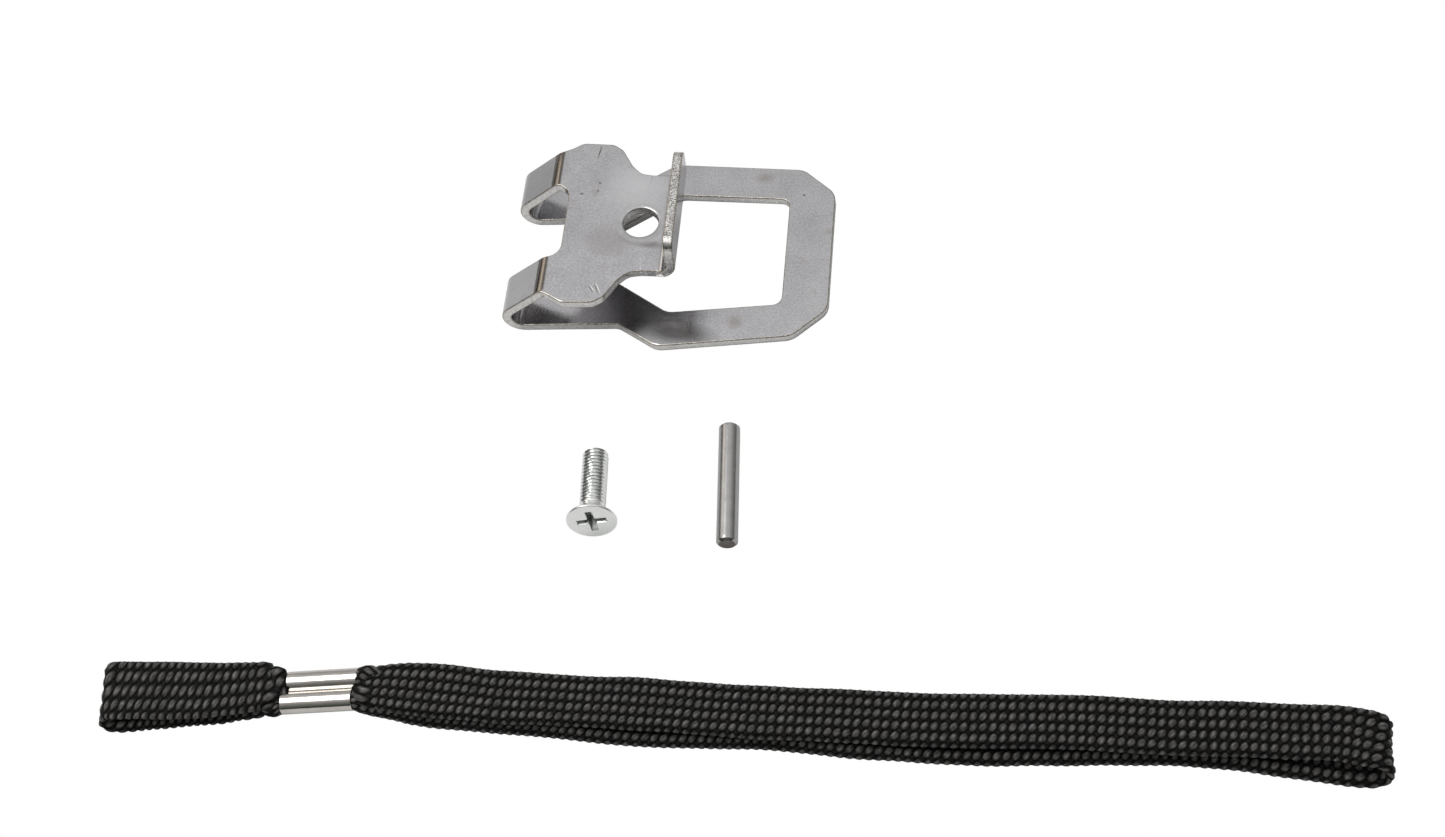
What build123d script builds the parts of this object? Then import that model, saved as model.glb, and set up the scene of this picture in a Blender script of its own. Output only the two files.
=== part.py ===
from build123d import *
import math
import os

# ---------------------------------------------------------------------------
# Entry-stair gate latch kit: a bent sheet-steel latch plate, its hinge pin,
# its countersunk screw and its pull strap, laid out loose on one flat surface.
# Millimetres.  +X runs along the latch and the strap, +Y away from the strap,
# +Z up; z = 0 is the surface that everything rests on.
# ---------------------------------------------------------------------------

# where the latch plate's own datum (the middle of its width) sits
LATCH_X, LATCH_Y = -16.1, 42.85

# latch plate: sheet and lower ring
T = 1.9                      # 14 gauge sheet
RING_HALF_A = 22.391           # half width of the ring at its wide end
RING_X_A = -1.4              # where the wide end's corner is
RING_HALF_B = 20.3           # half width where the far chamfers start
RING_X_B = 25.1
RING_X_END = 31.9            # far end of the ring
RING_END_HALF = 14.1         # half length of the straight far end
LEG_X = -9.5                 # where the outer diagonals meet the legs
LEG_OUT, LEG_IN = 17.15, 8.8  # a leg's outer and inner side, from the middle
OPEN_X_END = 22.7            # ring opening: far end
OPEN_HALF_B = 12.8           # half width at the far end
OPEN_HALF_A = 14.4           # half width at the wide end
OPEN_X_A = 0.2
OPEN_X_TIP = -12.0           # the opening's short flat towards the hinge
OPEN_HALF_TIP = 6.2
WEB_X = -20.4                # hinge side edge of the web between the legs
CORNER_R = 2.0

# hinge knuckles (two U-bends), slope and upper plate
BEND_OUT = 4.0               # outside radius of a U-bend
BEND_IN = BEND_OUT - T       # 2.1, for the 4 mm pin
BEND_X = -28.3               # the U-bend's centre
SLOPE_DEG = 38.3             # the slope above the bend, from the horizontal
CREST_X, CREST_Z = -22.9, 13.4
TILT_DEG = 4.0               # the upper plate falls towards its tab
CREST_OUT_R = 2.4
TAB_FACE = 26.25             # crest to the tab's outer face, along the plate
TAB_H = 8.7                  # tab above the upper plate's top face
TAB_BEND_OUT = 3.9
TAB_HALF = 12.0
TAB_CORNER_R = 2.5
WING_HALF = 19.5
NECK_HALF = 11.7
NOTCH_X = -19.9
NOTCH_R = 3.0
HOLE_X = -4.8
HOLE_R = 3.6
RIM_R, RIM_DEPTH = 5.0, 0.1  # pressed flat rim round the hole

# hinge pin
PIN_R, PIN_L, PIN_CH = 2.0, 25.0, 0.4
PIN_POS = (15.7, -53.2)      # from the latch datum
PIN_YAW = 3.7

# countersunk screw, M5 x 16
SCREW_L, SCREW_R, SCREW_HEAD_R = 16.0, 2.45, 4.7
HEAD_EDGE, TIP_CH = 0.3, 0.6
RECESS_R, RECESS_W, RECESS_D = 2.8, 1.3, 2.3
RECESS_TURN = 3.0
SCREW_HEAD_POS = (-8.5, -62.6)
SCREW_YAW = 5.8

# pull strap: flat tubular braid, and the double-barrel ferrule on it
BARREL_R, BARREL_PITCH, BARREL_WALL, FERRULE_L = 2.0, 3.7, 0.5, 13.2
BARREL_SKEW = 0.4            # each barrel's shift along the ferrule, so its ends are not square
FERRULE_POS = (-54.7, -95.9)
FERRULE_YAW = 4.8
MOUTH_GAP = 0.7              # from the ferrule's mean end to the loops
ROOT_R = 1.75                # rounded root of each loop, at the mouth
ROOT_W = 8.2
ANCHOR_T, ANCHOR_W = 1.7, 11.0     # the short loop lies spread flat
GRIP_T, GRIP_W = 1.9, 9.3         # the long loop's runs are narrower and rounder


def round_corners(points, radii, n=6):
    """plan outline with rounded corners, as a polyline"""
    out = []
    m = len(points)
    for i, (x, y) in enumerate(points):
        r = radii[i] if isinstance(radii, (list, tuple)) else radii
        if r <= 0:
            out.append((x, y))
            continue
        px, py = points[i - 1]
        nx, ny = points[(i + 1) % m]
        ax, ay = px - x, py - y
        bx, by = nx - x, ny - y
        la, lb = math.hypot(ax, ay), math.hypot(bx, by)
        ax, ay, bx, by = ax / la, ay / la, bx / lb, by / lb
        half = math.acos(max(-1.0, min(1.0, ax * bx + ay * by))) / 2
        d = min(r / math.tan(half), 0.45 * la, 0.45 * lb)
        r2 = d * math.tan(half)
        cx_, cy_ = (ax + bx), (ay + by)
        lc = math.hypot(cx_, cy_)
        h = r2 / math.sin(half)
        cx_, cy_ = x + cx_ / lc * h, y + cy_ / lc * h
        a0 = math.atan2(y + ay * d - cy_, x + ax * d - cx_)
        a1 = math.atan2(y + by * d - cy_, x + bx * d - cx_)
        da = (a1 - a0 + math.pi) % (2 * math.pi) - math.pi
        for k in range(n + 1):
            a = a0 + da * k / n
            out.append((cx_ + r2 * math.cos(a), cy_ + r2 * math.sin(a)))
    return out


def plan_prism(points, z0, z1):
    f = make_face(Polyline(*[(x, y, z0) for x, y in points], close=True))
    return extrude(f, amount=z1 - z0, dir=(0, 0, 1))


# ------------------------------------------------------------- latch plate
ring_plan = round_corners(
    [(BEND_X, -LEG_OUT), (LEG_X, -LEG_OUT), (RING_X_A, -RING_HALF_A), (RING_X_B, -RING_HALF_B),
     (RING_X_END, -RING_END_HALF), (RING_X_END, RING_END_HALF), (RING_X_B, RING_HALF_B),
     (RING_X_A, RING_HALF_A), (LEG_X, LEG_OUT), (BEND_X, LEG_OUT)],
    [0, 2.5, 4.0, 4.0, 4.0, 4.0, 4.0, 4.0, 2.5, 0])
ring = plan_prism(ring_plan, 0, T)
opening = round_corners(
    [(OPEN_X_TIP, -OPEN_HALF_TIP), (OPEN_X_A, -OPEN_HALF_A), (OPEN_X_END, -OPEN_HALF_B),
     (OPEN_X_END, OPEN_HALF_B), (OPEN_X_A, OPEN_HALF_A), (OPEN_X_TIP, OPEN_HALF_TIP)],
    [CORNER_R, 3.5, CORNER_R, CORNER_R, 3.5, CORNER_R])
ring -= plan_prism(opening, -1, T + 1)
leg_gap = round_corners(
    [(BEND_X - 1, -LEG_IN), (WEB_X, -LEG_IN), (WEB_X, LEG_IN), (BEND_X - 1, LEG_IN)],
    [0, NOTCH_R, NOTCH_R, 0])
ring -= plan_prism(leg_gap, -1, T + 1)

# one strip: U-bend, slope, crest, upper plate, tab bend and tab
s, c = math.sin(math.radians(SLOPE_DEG)), math.cos(math.radians(SLOPE_DEG))
ts, tc = math.sin(math.radians(TILT_DEG)), math.cos(math.radians(TILT_DEG))
n_out = 90 + SLOPE_DEG       # direction of the slope's outer normal
# the slope's outer face is tangent to the U-bend and meets the plate's top face at the crest
sx, sz = BEND_X - BEND_OUT * s, BEND_OUT + BEND_OUT * c


def up(a, b):
    """a along the upper plate from the crest, b above its top face"""
    return (CREST_X0 + a * tc + b * ts, CREST_Z0 - a * ts + b * tc)


# crest point: where the slope's outer face reaches the upper plate's top plane
k = ((CREST_Z - sz) + (CREST_X - sx) * ts / tc) / (s + c * ts / tc)
CREST_X0, CREST_Z0 = sx + k * c, sz + k * s
turn = SLOPE_DEG + TILT_DEG
set_back = CREST_OUT_R * math.tan(math.radians(turn / 2))
crest_c = (CREST_X0 - set_back * c + CREST_OUT_R * s, CREST_Z0 - set_back * s - CREST_OUT_R * c)
tab_c = up(TAB_FACE - TAB_BEND_OUT, TAB_BEND_OUT - T)

with BuildPart() as strip_b:
    with BuildSketch(Plane.XZ):
        with BuildLine():
            # bottom of the U-bend, outside
            l1 = CenterArc((BEND_X, BEND_OUT), BEND_OUT, 270, n_out - 270)
            a1 = (crest_c[0] + CREST_OUT_R * math.cos(math.radians(n_out)),
                  crest_c[1] + CREST_OUT_R * math.sin(math.radians(n_out)))
            l2 = Line(l1 @ 1, a1)
            l3 = CenterArc(crest_c, CREST_OUT_R, n_out, (90 - TILT_DEG) - n_out)
            a2 = up(TAB_FACE - TAB_BEND_OUT, 0)
            l4 = Line(l3 @ 1, a2)
            l5 = CenterArc(tab_c, TAB_BEND_OUT - T, 270 - TILT_DEG, 90)
            l6 = Line(l5 @ 1, up(TAB_FACE - T, TAB_H))
            l7 = Line(up(TAB_FACE - T, TAB_H), up(TAB_FACE, TAB_H))
            a3 = up(TAB_FACE, TAB_BEND_OUT - T)
            l8 = Line(up(TAB_FACE, TAB_H), a3)
            l9 = CenterArc(tab_c, TAB_BEND_OUT, -TILT_DEG, -90)
            b1 = (crest_c[0] + (CREST_OUT_R - T) * math.cos(math.radians(90 - TILT_DEG)),
                  crest_c[1] + (CREST_OUT_R - T) * math.sin(math.radians(90 - TILT_DEG)))
            l10 = Line(l9 @ 1, b1)
            l11 = CenterArc(crest_c, CREST_OUT_R - T, 90 - TILT_DEG, n_out - (90 - TILT_DEG))
            b2 = (BEND_X + BEND_IN * math.cos(math.radians(n_out)),
                  BEND_OUT + BEND_IN * math.sin(math.radians(n_out)))
            l12 = Line(l11 @ 1, b2)
            l13 = CenterArc((BEND_X, BEND_OUT), BEND_IN, n_out, 270 - n_out)
            l14 = Line(l13 @ 1, l1 @ 0)
        make_face()
    extrude(amount=25, both=True)
strip = strip_b.part

wing = [(CREST_X0 - 0.2, LEG_OUT), (-20.4, 18.2), (-18.4, WING_HALF), (-12.2, WING_HALF - 0.2), (-10.2, 17.9),
        (-7.9, 14.0), (-6.0, NECK_HALF + 0.35), (-3.6, NECK_HALF)]
wing_r = [2.5, 0, 2.5, 2.5, 2.5, 4.0, 3.0, 2.0]
half_plan = [(-34, LEG_OUT)] + wing + [(-0.5, NECK_HALF), (0.6, TAB_HALF), (6, TAB_HALF)]
half_r = [0] + wing_r + [1.5, 1.0, 0]
plan = half_plan + [(x, -y) for x, y in reversed(half_plan)]
plan_r = half_r + list(reversed(half_r))
upper_cut = plan_prism(round_corners(plan, plan_r), -1, 30)
gap_cut = plan_prism(round_corners(
    [(-34, -LEG_IN), (NOTCH_X, -LEG_IN), (NOTCH_X, LEG_IN), (-34, LEG_IN)], [0, NOTCH_R, NOTCH_R, 0]), -1, 30)
# rounded upper corners of the tab, cut along the plate's length
tab_top = up(TAB_FACE, TAB_H)[1]
tab_side = round_corners([(-TAB_HALF - 8, -5), (TAB_HALF + 8, -5), (TAB_HALF + 8, tab_top - 5.5), (TAB_HALF, tab_top - 5.5),
                          (TAB_HALF, tab_top + 0.2), (-TAB_HALF, tab_top + 0.2), (-TAB_HALF, tab_top - 5.5),
                          (-TAB_HALF - 8, tab_top - 5.5)],
                         [0, 0, 0, 0, TAB_CORNER_R, TAB_CORNER_R, 0, 0])
tab_prism = extrude(make_face(Polyline(*[(-40, y, z) for y, z in tab_side], close=True)), amount=80, dir=(1, 0, 0))
upper = (strip & upper_cut & tab_prism) - gap_cut

hole_pt = up((HOLE_X - CREST_X0) / tc, 0)
hole_frame = Plane(origin=(hole_pt[0], 0, hole_pt[1]), x_dir=(tc, 0, -ts), z_dir=(ts, 0, tc))
hole = hole_frame * Cylinder(HOLE_R, 12)
rim = hole_frame * Pos(0, 0, 1 - RIM_DEPTH) * Cylinder(RIM_R, 2)
upper = upper - hole - rim

latch = ring + upper
latch_plate = Pos(LATCH_X, LATCH_Y, 0) * latch

# --------------------------------------------------------------- hinge pin
pin = Cylinder(PIN_R, PIN_L)
pin = chamfer(pin.edges().filter_by(GeomType.CIRCLE), PIN_CH)
hinge_pin = (Pos(LATCH_X + PIN_POS[0], LATCH_Y + PIN_POS[1], PIN_R) * Rot(0, 0, PIN_YAW) * Rot(90, 0, 0)) * pin

# ------------------------------------------------------- countersunk screw
cone_h = SCREW_HEAD_R - SCREW_R
with BuildPart() as screw_b:
    with BuildSketch(Plane.XZ):
        with BuildLine():
            Polyline((0, 0), (SCREW_HEAD_R, 0), (SCREW_HEAD_R, -HEAD_EDGE), (SCREW_R, -HEAD_EDGE - cone_h),
                     (SCREW_R, -SCREW_L + TIP_CH), (SCREW_R - TIP_CH, -SCREW_L), (0, -SCREW_L), (0, 0))
        make_face()
    revolve(axis=Axis.Z)
screw = screw_b.part
# cross recess, tapered to the bottom
for turn_deg in (0, 90):
    arm_top = Plane.XY.offset(0.01) * Rot(0, 0, turn_deg) * Rectangle(2 * RECESS_R, RECESS_W)
    arm_bot = Plane.XY.offset(-RECESS_D) * Rot(0, 0, turn_deg) * Rectangle(0.9, 0.7)
    screw = screw - loft([arm_top.face(), arm_bot.face()])
tau = math.atan((SCREW_HEAD_R - SCREW_R) / (SCREW_L - TIP_CH - HEAD_EDGE))
head_h = SCREW_HEAD_R * math.cos(tau) + HEAD_EDGE * math.sin(tau)
# local +Z (out of the head) points at -Y, tipped up by tau
screw_loc = Pos(LATCH_X + SCREW_HEAD_POS[0], LATCH_Y + SCREW_HEAD_POS[1], head_h) * Rot(0, 0, SCREW_YAW) \
    * Rot(90 - math.degrees(tau), 0, 0)
countersunk_screw = screw_loc * (Rot(0, 0, RECESS_TURN) * screw)

# ------------------------------------------------------------- strap parts
FX, FY = LATCH_X + FERRULE_POS[0], LATCH_Y + FERRULE_POS[1]
ferrule_loc = Pos(FX, FY, BARREL_R) * Rot(0, 0, FERRULE_YAW)


def barrel(side, r, length):
    return Pos(side * BARREL_SKEW, side * BARREL_PITCH / 2, 0) * Rot(0, 90, 0) * Cylinder(r, length)


shell = barrel(-1, BARREL_R, FERRULE_L) + barrel(1, BARREL_R, FERRULE_L)
for side in (-1, 1):
    shell -= barrel(side, BARREL_R - BARREL_WALL, FERRULE_L + 4)
strap_ferrule = ferrule_loc * shell
core_r = BARREL_R - BARREL_WALL
core = barrel(-1, core_r, FERRULE_L) + barrel(1, core_r, FERRULE_L)
strap_core = ferrule_loc * core

HINGE_OFF = FERRULE_L / 2 + MOUTH_GAP + ROOT_R


def ribbon(stations, thick):
    """flat band through (x, y, z, width, heading, skew) stations; heading 0 runs along +X,
    180 back along -X, with the band's own normal turning with it in the XZ plane;
    skew turns the crosswise line in plan"""
    faces = []
    for x, y, z, w, head, skew in stations:
        a, k = math.radians(head), math.radians(skew)
        t_dir = Vector(math.cos(a) * math.cos(k), math.cos(a) * math.sin(k), math.sin(a))
        pl = Plane(origin=(LATCH_X + x, LATCH_Y + y, z), x_dir=(-math.sin(k), math.cos(k), 0), z_dir=t_dir)
        faces.append((pl * Rectangle(w, thick)).face())
    return loft(faces, ruled=True)


def fold(x, z_mid, r, y0, y1, w, side, skew):
    """half-round fold; side +1 turns up at the +X end, -1 at the -X end"""
    out = []
    for i in range(1, 10):
        f = i / 10
        a = -90 + 180 * f
        px = x + side * r * math.cos(math.radians(a))
        pz = z_mid + r * math.sin(math.radians(a))
        head = (90 + a) if side > 0 else (180 - (90 + a))
        out.append((px, y0 + (y1 - y0) * f, pz, w, head, skew))
    return out


def root(sign):
    """gathered root of a loop, rounded about the flex axis at the mouth"""
    cyl = Pos(sign * HINGE_OFF, 0, 0) * Rot(90, 0, 0) * Cylinder(ROOT_R, ROOT_W)
    blk = Pos(sign * (HINGE_OFF + 2.0), 0, 0) * Box(4.0, ROOT_W, 2 * ROOT_R)
    return ferrule_loc * (cyl + blk)


# grip loop: lower run out to +X, fold, upper run back
gt, gw, grip_fold_x, grip_r = GRIP_T / 2, GRIP_W, 125.75, 2.0
low = [(-45.0, -95.7, 1.0, 7.6), (-41.6, -95.95, gt, 8.4), (-37.7, -96.55, gt, 9.0), (-28.4, -97.35, gt, 9.2),
       (-21, -97.65, gt, gw), (-13.7, -98.2, gt, gw), (-6.4, -98.9, gt, gw), (0.8, -99.45, gt, gw), (15, -99.6, gt, gw),
       (23.5, -99.55, gt, gw), (40.8, -100.6, gt, gw), (50, -101.05, gt, gw), (59.3, -101.3, gt, gw),
       (74, -101.0, gt, gw), (88.8, -100.5, gt, gw), (101.6, -100.75, gt, gw), (113.7, -102.05, gt, gw),
       (120.2, -102.95, gt, gw), (grip_fold_x, -103.35, gt, gw)]
high = [(grip_fold_x, -101.3, gt + 2 * grip_r, gw), (120.5, -100.35, 4.75, gw), (114, -100.1, 4.4, gw),
        (106, -99.75, 4.1, gw), (95, -99.7, 3.95, gw), (82, -99.2, 3.8, gw), (50, -99.2, 3.6, gw), (40.5, -98.95, 3.6, gw),
        (23.2, -98.6, 3.6, gw), (9, -97.85, 3.5, gw), (-7.1, -97.25, 3.3, gw), (-21.7, -96.6, 3.2, gw),
        (-29.2, -95.8, 3.1, 9.2), (-34.8, -95.35, 3.1, 9.1), (-41.5, -95.4, 3.1, 8.5), (-45.0, -95.4, 3.1, 7.8)]
low, high = [p + (0, 0) for p in low], [p + (180, 0) for p in high]
grip = ribbon(low + fold(grip_fold_x, gt + grip_r, grip_r, -103.35, -101.3, gw, 1, 0) + high, GRIP_T)
strap_grip_loop = grip + root(1)

# anchor loop: lower run out to -X, fold, upper run back; its fold lies askew
at, aw, anchor_fold_x, anchor_r, askew = ANCHOR_T / 2, ANCHOR_W, -93.336, 1.65, 7.0
low = [(-65.6, -96.4, 1.1, 8.2, 180, 0), (-70, -96.75, at, 9.2, 180, 0), (-77, -96.95, at, 10.5, 180, 1),
       (-86, -97.85, at, aw, 180, 4), (anchor_fold_x, -98.5, at, aw, 180, askew)]
high = [(anchor_fold_x, -97.6, at + 2 * anchor_r, aw, 0, askew), (-86, -97.5, 4.1, aw, 0, 4),
        (-77, -97.25, 3.9, 10.4, 0, 1), (-70, -96.75, 3.4, 9.4, 0, 0), (-65.6, -96.3, 2.9, 8.4, 0, 0)]
anchor = ribbon(low + fold(anchor_fold_x, at + anchor_r, anchor_r, -98.5, -97.6, aw, -1, askew) + high, ANCHOR_T)
strap_anchor_loop = anchor + root(-1)

# ------------------------------------------------------------------ export
os.makedirs("parts", exist_ok=True)
nodes = {
    "latch_plate": latch_plate,
    "hinge_pin": hinge_pin,
    "countersunk_screw": countersunk_screw,
    "strap_ferrule": strap_ferrule,
    "strap_core": strap_core,
    "strap_anchor_loop": strap_anchor_loop,
    "strap_grip_loop": strap_grip_loop,
}
for name, shape in nodes.items():
    solids = shape.solids()
    export_step(Compound(children=list(solids)) if len(solids) > 1 else solids[0], f"parts/{name}.step")
    bb = shape.bounding_box()
    print(name, len(solids), "solid(s)", round(shape.volume, 2),
          [round(v, 3) for v in (bb.min.X, bb.min.Y, bb.min.Z, bb.max.X, bb.max.Y, bb.max.Z)])
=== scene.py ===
import math

import bmesh
import bpy
import numpy as np
from mathutils import Matrix, Vector
from mathutils.geometry import delaunay_2d_cdt


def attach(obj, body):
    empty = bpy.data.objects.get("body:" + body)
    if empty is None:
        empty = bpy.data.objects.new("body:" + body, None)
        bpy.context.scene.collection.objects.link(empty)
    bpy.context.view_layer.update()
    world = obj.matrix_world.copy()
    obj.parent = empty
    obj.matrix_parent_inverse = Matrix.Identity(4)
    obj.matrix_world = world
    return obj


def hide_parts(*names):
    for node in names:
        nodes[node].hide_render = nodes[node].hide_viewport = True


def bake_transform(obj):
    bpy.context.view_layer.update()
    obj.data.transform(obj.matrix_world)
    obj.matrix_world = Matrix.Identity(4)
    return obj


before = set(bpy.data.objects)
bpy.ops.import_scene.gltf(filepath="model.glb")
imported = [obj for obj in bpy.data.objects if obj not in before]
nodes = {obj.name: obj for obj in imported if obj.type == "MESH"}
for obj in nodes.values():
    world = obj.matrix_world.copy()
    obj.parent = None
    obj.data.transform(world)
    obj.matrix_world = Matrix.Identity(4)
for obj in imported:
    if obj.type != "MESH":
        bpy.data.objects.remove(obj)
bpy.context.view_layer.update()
scene = bpy.context.scene
scene.view_settings.view_transform = "Standard"
scene.view_settings.look = "None"

MM = 0.001
LX, LY = -16.1, 42.85          # the latch plate's datum in the row frame, mm

# ------------------------------------------------------------------ camera
cam_data = bpy.data.cameras.new("camera")
cam = bpy.data.objects.new("camera", cam_data)
scene.collection.objects.link(cam)
cam_data.lens = 47.336
cam_data.sensor_width = 36.0
cam_data.sensor_fit = "HORIZONTAL"
cam_data.clip_start = 0.01
cam_data.clip_end = 20.0
right, up, fwd = (Vector((0.98587, 0.08527, -0.14423)), Vector((0.00172, 0.85563, 0.51758)),
                  Vector((-0.16754, 0.51051, -0.84339)))
m = Matrix((right, up, -fwd)).transposed().to_4x4()
m.translation = Vector((0.0573605, -0.1792139, 0.3044643))
cam.matrix_world = m
scene.camera = cam


# ----------------------------------------------------------------- helpers
def smoothstep(a, b, x):
    t = np.clip((x - a) / (b - a), 0, 1)
    return t * t * (3 - 2 * t)


def mesh_object(name, verts, faces, mats=(), face_mat=None, smooth=True, sharp=None):
    """verts in mm in the row frame"""
    me = bpy.data.meshes.new(name)
    me.from_pydata([tuple(v) for v in (np.asarray(verts, float) * MM).tolist()], [], [list(f) for f in faces])
    me.update()
    for mat in mats:
        me.materials.append(mat)
    if face_mat is not None:
        me.polygons.foreach_set("material_index", np.asarray(face_mat, np.int32))
    if smooth:
        me.polygons.foreach_set("use_smooth", np.ones(len(me.polygons), bool))
    if sharp is not None:
        me.set_sharp_from_angle(angle=math.radians(sharp))
    ob = bpy.data.objects.new(name, me)
    scene.collection.objects.link(ob)
    return ob


def outward(ob):
    bm = bmesh.new()
    bm.from_mesh(ob.data)
    bmesh.ops.remove_doubles(bm, verts=bm.verts, dist=1e-7)
    bmesh.ops.recalc_face_normals(bm, faces=bm.faces)
    bm.to_mesh(ob.data)
    bm.free()


def weighted(ob):
    """area-weighted normals, so that the small rounded edges shade into the flats"""
    mod = ob.modifiers.new("wn", "WEIGHTED_NORMAL")
    mod.mode = "FACE_AREA"
    mod.weight = 50
    mod.keep_sharp = False
    bpy.context.view_layer.update()
    dg = bpy.context.evaluated_depsgraph_get()
    me = bpy.data.meshes.new_from_object(ob.evaluated_get(dg))
    me.name = ob.name
    ob.modifiers.clear()
    ob.data = me
    return ob


def round_loop(points, radii, n=6):
    out = []
    mcount = len(points)
    for i, (x, y) in enumerate(points):
        r = radii[i] if isinstance(radii, (list, tuple)) else radii
        if r <= 0:
            out.append((x, y))
            continue
        px, py = points[i - 1]
        nx, ny = points[(i + 1) % mcount]
        ax, ay, bx, by = px - x, py - y, nx - x, ny - y
        la, lb = math.hypot(ax, ay), math.hypot(bx, by)
        ax, ay, bx, by = ax / la, ay / la, bx / lb, by / lb
        half = math.acos(max(-1.0, min(1.0, ax * bx + ay * by))) / 2
        d = min(r / math.tan(half), 0.45 * la, 0.45 * lb)
        r2 = d * math.tan(half)
        sx_, sy_ = ax + bx, ay + by
        lc = math.hypot(sx_, sy_)
        h = r2 / math.sin(half)
        cx_, cy_ = x + sx_ / lc * h, y + sy_ / lc * h
        a0 = math.atan2(y + ay * d - cy_, x + ax * d - cx_)
        a1 = math.atan2(y + by * d - cy_, x + bx * d - cx_)
        da = (a1 - a0 + math.pi) % (2 * math.pi) - math.pi
        for k in range(n + 1):
            a = a0 + da * k / n
            out.append((cx_ + r2 * math.cos(a), cy_ + r2 * math.sin(a)))
    return out


def inset(loop, d, into):
    """each point moved by d to the side `into` (+1 left of travel, -1 right)"""
    p = np.array(loop, float)
    prev, nxt = np.roll(p, 1, 0), np.roll(p, -1, 0)
    a, b = p - prev, nxt - p
    a /= np.linalg.norm(a, axis=1)[:, None]
    b /= np.linalg.norm(b, axis=1)[:, None]
    na, nb = np.stack([-a[:, 1], a[:, 0]], 1), np.stack([-b[:, 1], b[:, 0]], 1)
    nn = na + nb
    nn /= np.linalg.norm(nn, axis=1)[:, None]
    k = 1 / np.clip((nn * na).sum(1), 0.5, 1)
    return p + into * d * nn * k[:, None]


def ccw(loop):
    p = np.array(loop, float)
    q = np.roll(p, -1, 0)
    return float((p[:, 0] * q[:, 1] - q[:, 0] * p[:, 1]).sum()) > 0


def inside(c, ring):
    a, b = ring, np.roll(ring, -1, 0)
    k = (a[:, 1] > c[1]) != (b[:, 1] > c[1])
    dy = np.where(k, b[:, 1] - a[:, 1], 1.0)
    x = a[:, 0] + (c[1] - a[:, 1]) / dy * (b[:, 0] - a[:, 0])
    return bool((k & (x > c[0])).sum() % 2)


def slab(outer, holes, t, prof_default, prof=None, extra=()):
    """Flat plate between h = -t/2 and t/2 with a shaped edge on every loop.
    A profile is a list of (inset, h) from the lower face to the upper face."""
    verts, faces, kind = [], [], []
    loops = [(outer, True)] + [(h, False) for h in holes]
    low, high = [], []
    for li, (lp, is_outer) in enumerate(loops):
        pr = prof[li] if prof and li in prof else prof_default
        into = 1 if (ccw(lp) == is_outer) else -1
        n = len(lp)
        base = len(verts)
        for d, h in pr:
            q = inset(lp, d, into) if d else np.array(lp, float)
            verts += [(x, y, h) for x, y in q]
        for k in range(len(pr) - 1):
            wall = abs(pr[k][1] - pr[k + 1][1]) > 0.45 * t
            for i in range(n):
                j = (i + 1) % n
                faces.append([base + k * n + i, base + k * n + j, base + (k + 1) * n + j, base + (k + 1) * n + i])
                kind.append(1 if wall else 2)
        low.append(list(range(base, base + n)))
        high.append(list(range(base + (len(pr) - 1) * n, base + len(pr) * n)))
    for idx in (low, high):
        pts, edges, ids = [], [], []
        for lp in idx:
            s0 = len(pts)
            pts += [Vector(verts[i][:2]) for i in lp]
            ids += lp
            edges += [(s0 + i, s0 + (i + 1) % len(lp)) for i in range(len(lp))]
        res = delaunay_2d_cdt(pts, edges, [], 2, 1e-6)
        remap = []
        for vi, orig in enumerate(res[3]):
            remap.append(ids[orig[0]])
        rings = [np.array([verts[i][:2] for i in lp]) for lp in idx[1:]]
        for f in res[2]:
            c = np.mean([[res[0][v].x, res[0][v].y] for v in f], axis=0)
            if inside(c, np.array([verts[i][:2] for i in idx[0]])) and not any(inside(c, rg) for rg in rings):
                faces.append([remap[v] for v in f])
                kind.append(0)
    return verts, faces, kind


def cut_lines(ob, axis, places):
    bm = bmesh.new()
    bm.from_mesh(ob.data)
    no = [0, 0, 0]
    no[axis] = 1
    for c in places:
        co = [0, 0, 0]
        co[axis] = c
        bmesh.ops.bisect_plane(bm, geom=bm.verts[:] + bm.edges[:] + bm.faces[:], dist=1e-7, plane_co=co, plane_no=no)
    bm.to_mesh(ob.data)
    bm.free()


# --------------------------------------------------------------- materials
def new_mat(name):
    mat = bpy.data.materials.new(name)
    mat.use_nodes = True
    nt = mat.node_tree
    bsdf = nt.nodes["Principled BSDF"]
    return mat, nt, bsdf


def node(nt, kind, **inputs):
    n = nt.nodes.new(kind)
    for k, v in inputs.items():
        if hasattr(n, k) and not k.startswith("in_"):
            setattr(n, k, v)
        else:
            n.inputs[k.replace("in_", "").replace("_", " ")].default_value = v
    return n


def coords(nt, scale=(1000, 1000, 1000), kind="Object", attr=None):
    mp = nt.nodes.new("ShaderNodeMapping")
    mp.inputs["Scale"].default_value = scale
    if attr:
        a = nt.nodes.new("ShaderNodeAttribute")
        a.attribute_name = attr
        nt.links.new(a.outputs["Vector"], mp.inputs["Vector"])
    else:
        tc = nt.nodes.new("ShaderNodeTexCoord")
        nt.links.new(tc.outputs[kind], mp.inputs["Vector"])
    return mp.outputs["Vector"]


def noise(nt, vec, scale, detail=3.0, rough=0.55, dim="3D"):
    n = nt.nodes.new("ShaderNodeTexNoise")
    n.noise_dimensions = dim
    n.inputs["Scale"].default_value = scale
    n.inputs["Detail"].default_value = detail
    n.inputs["Roughness"].default_value = rough
    nt.links.new(vec, n.inputs["Vector"])
    return n.outputs["Fac"]


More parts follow.
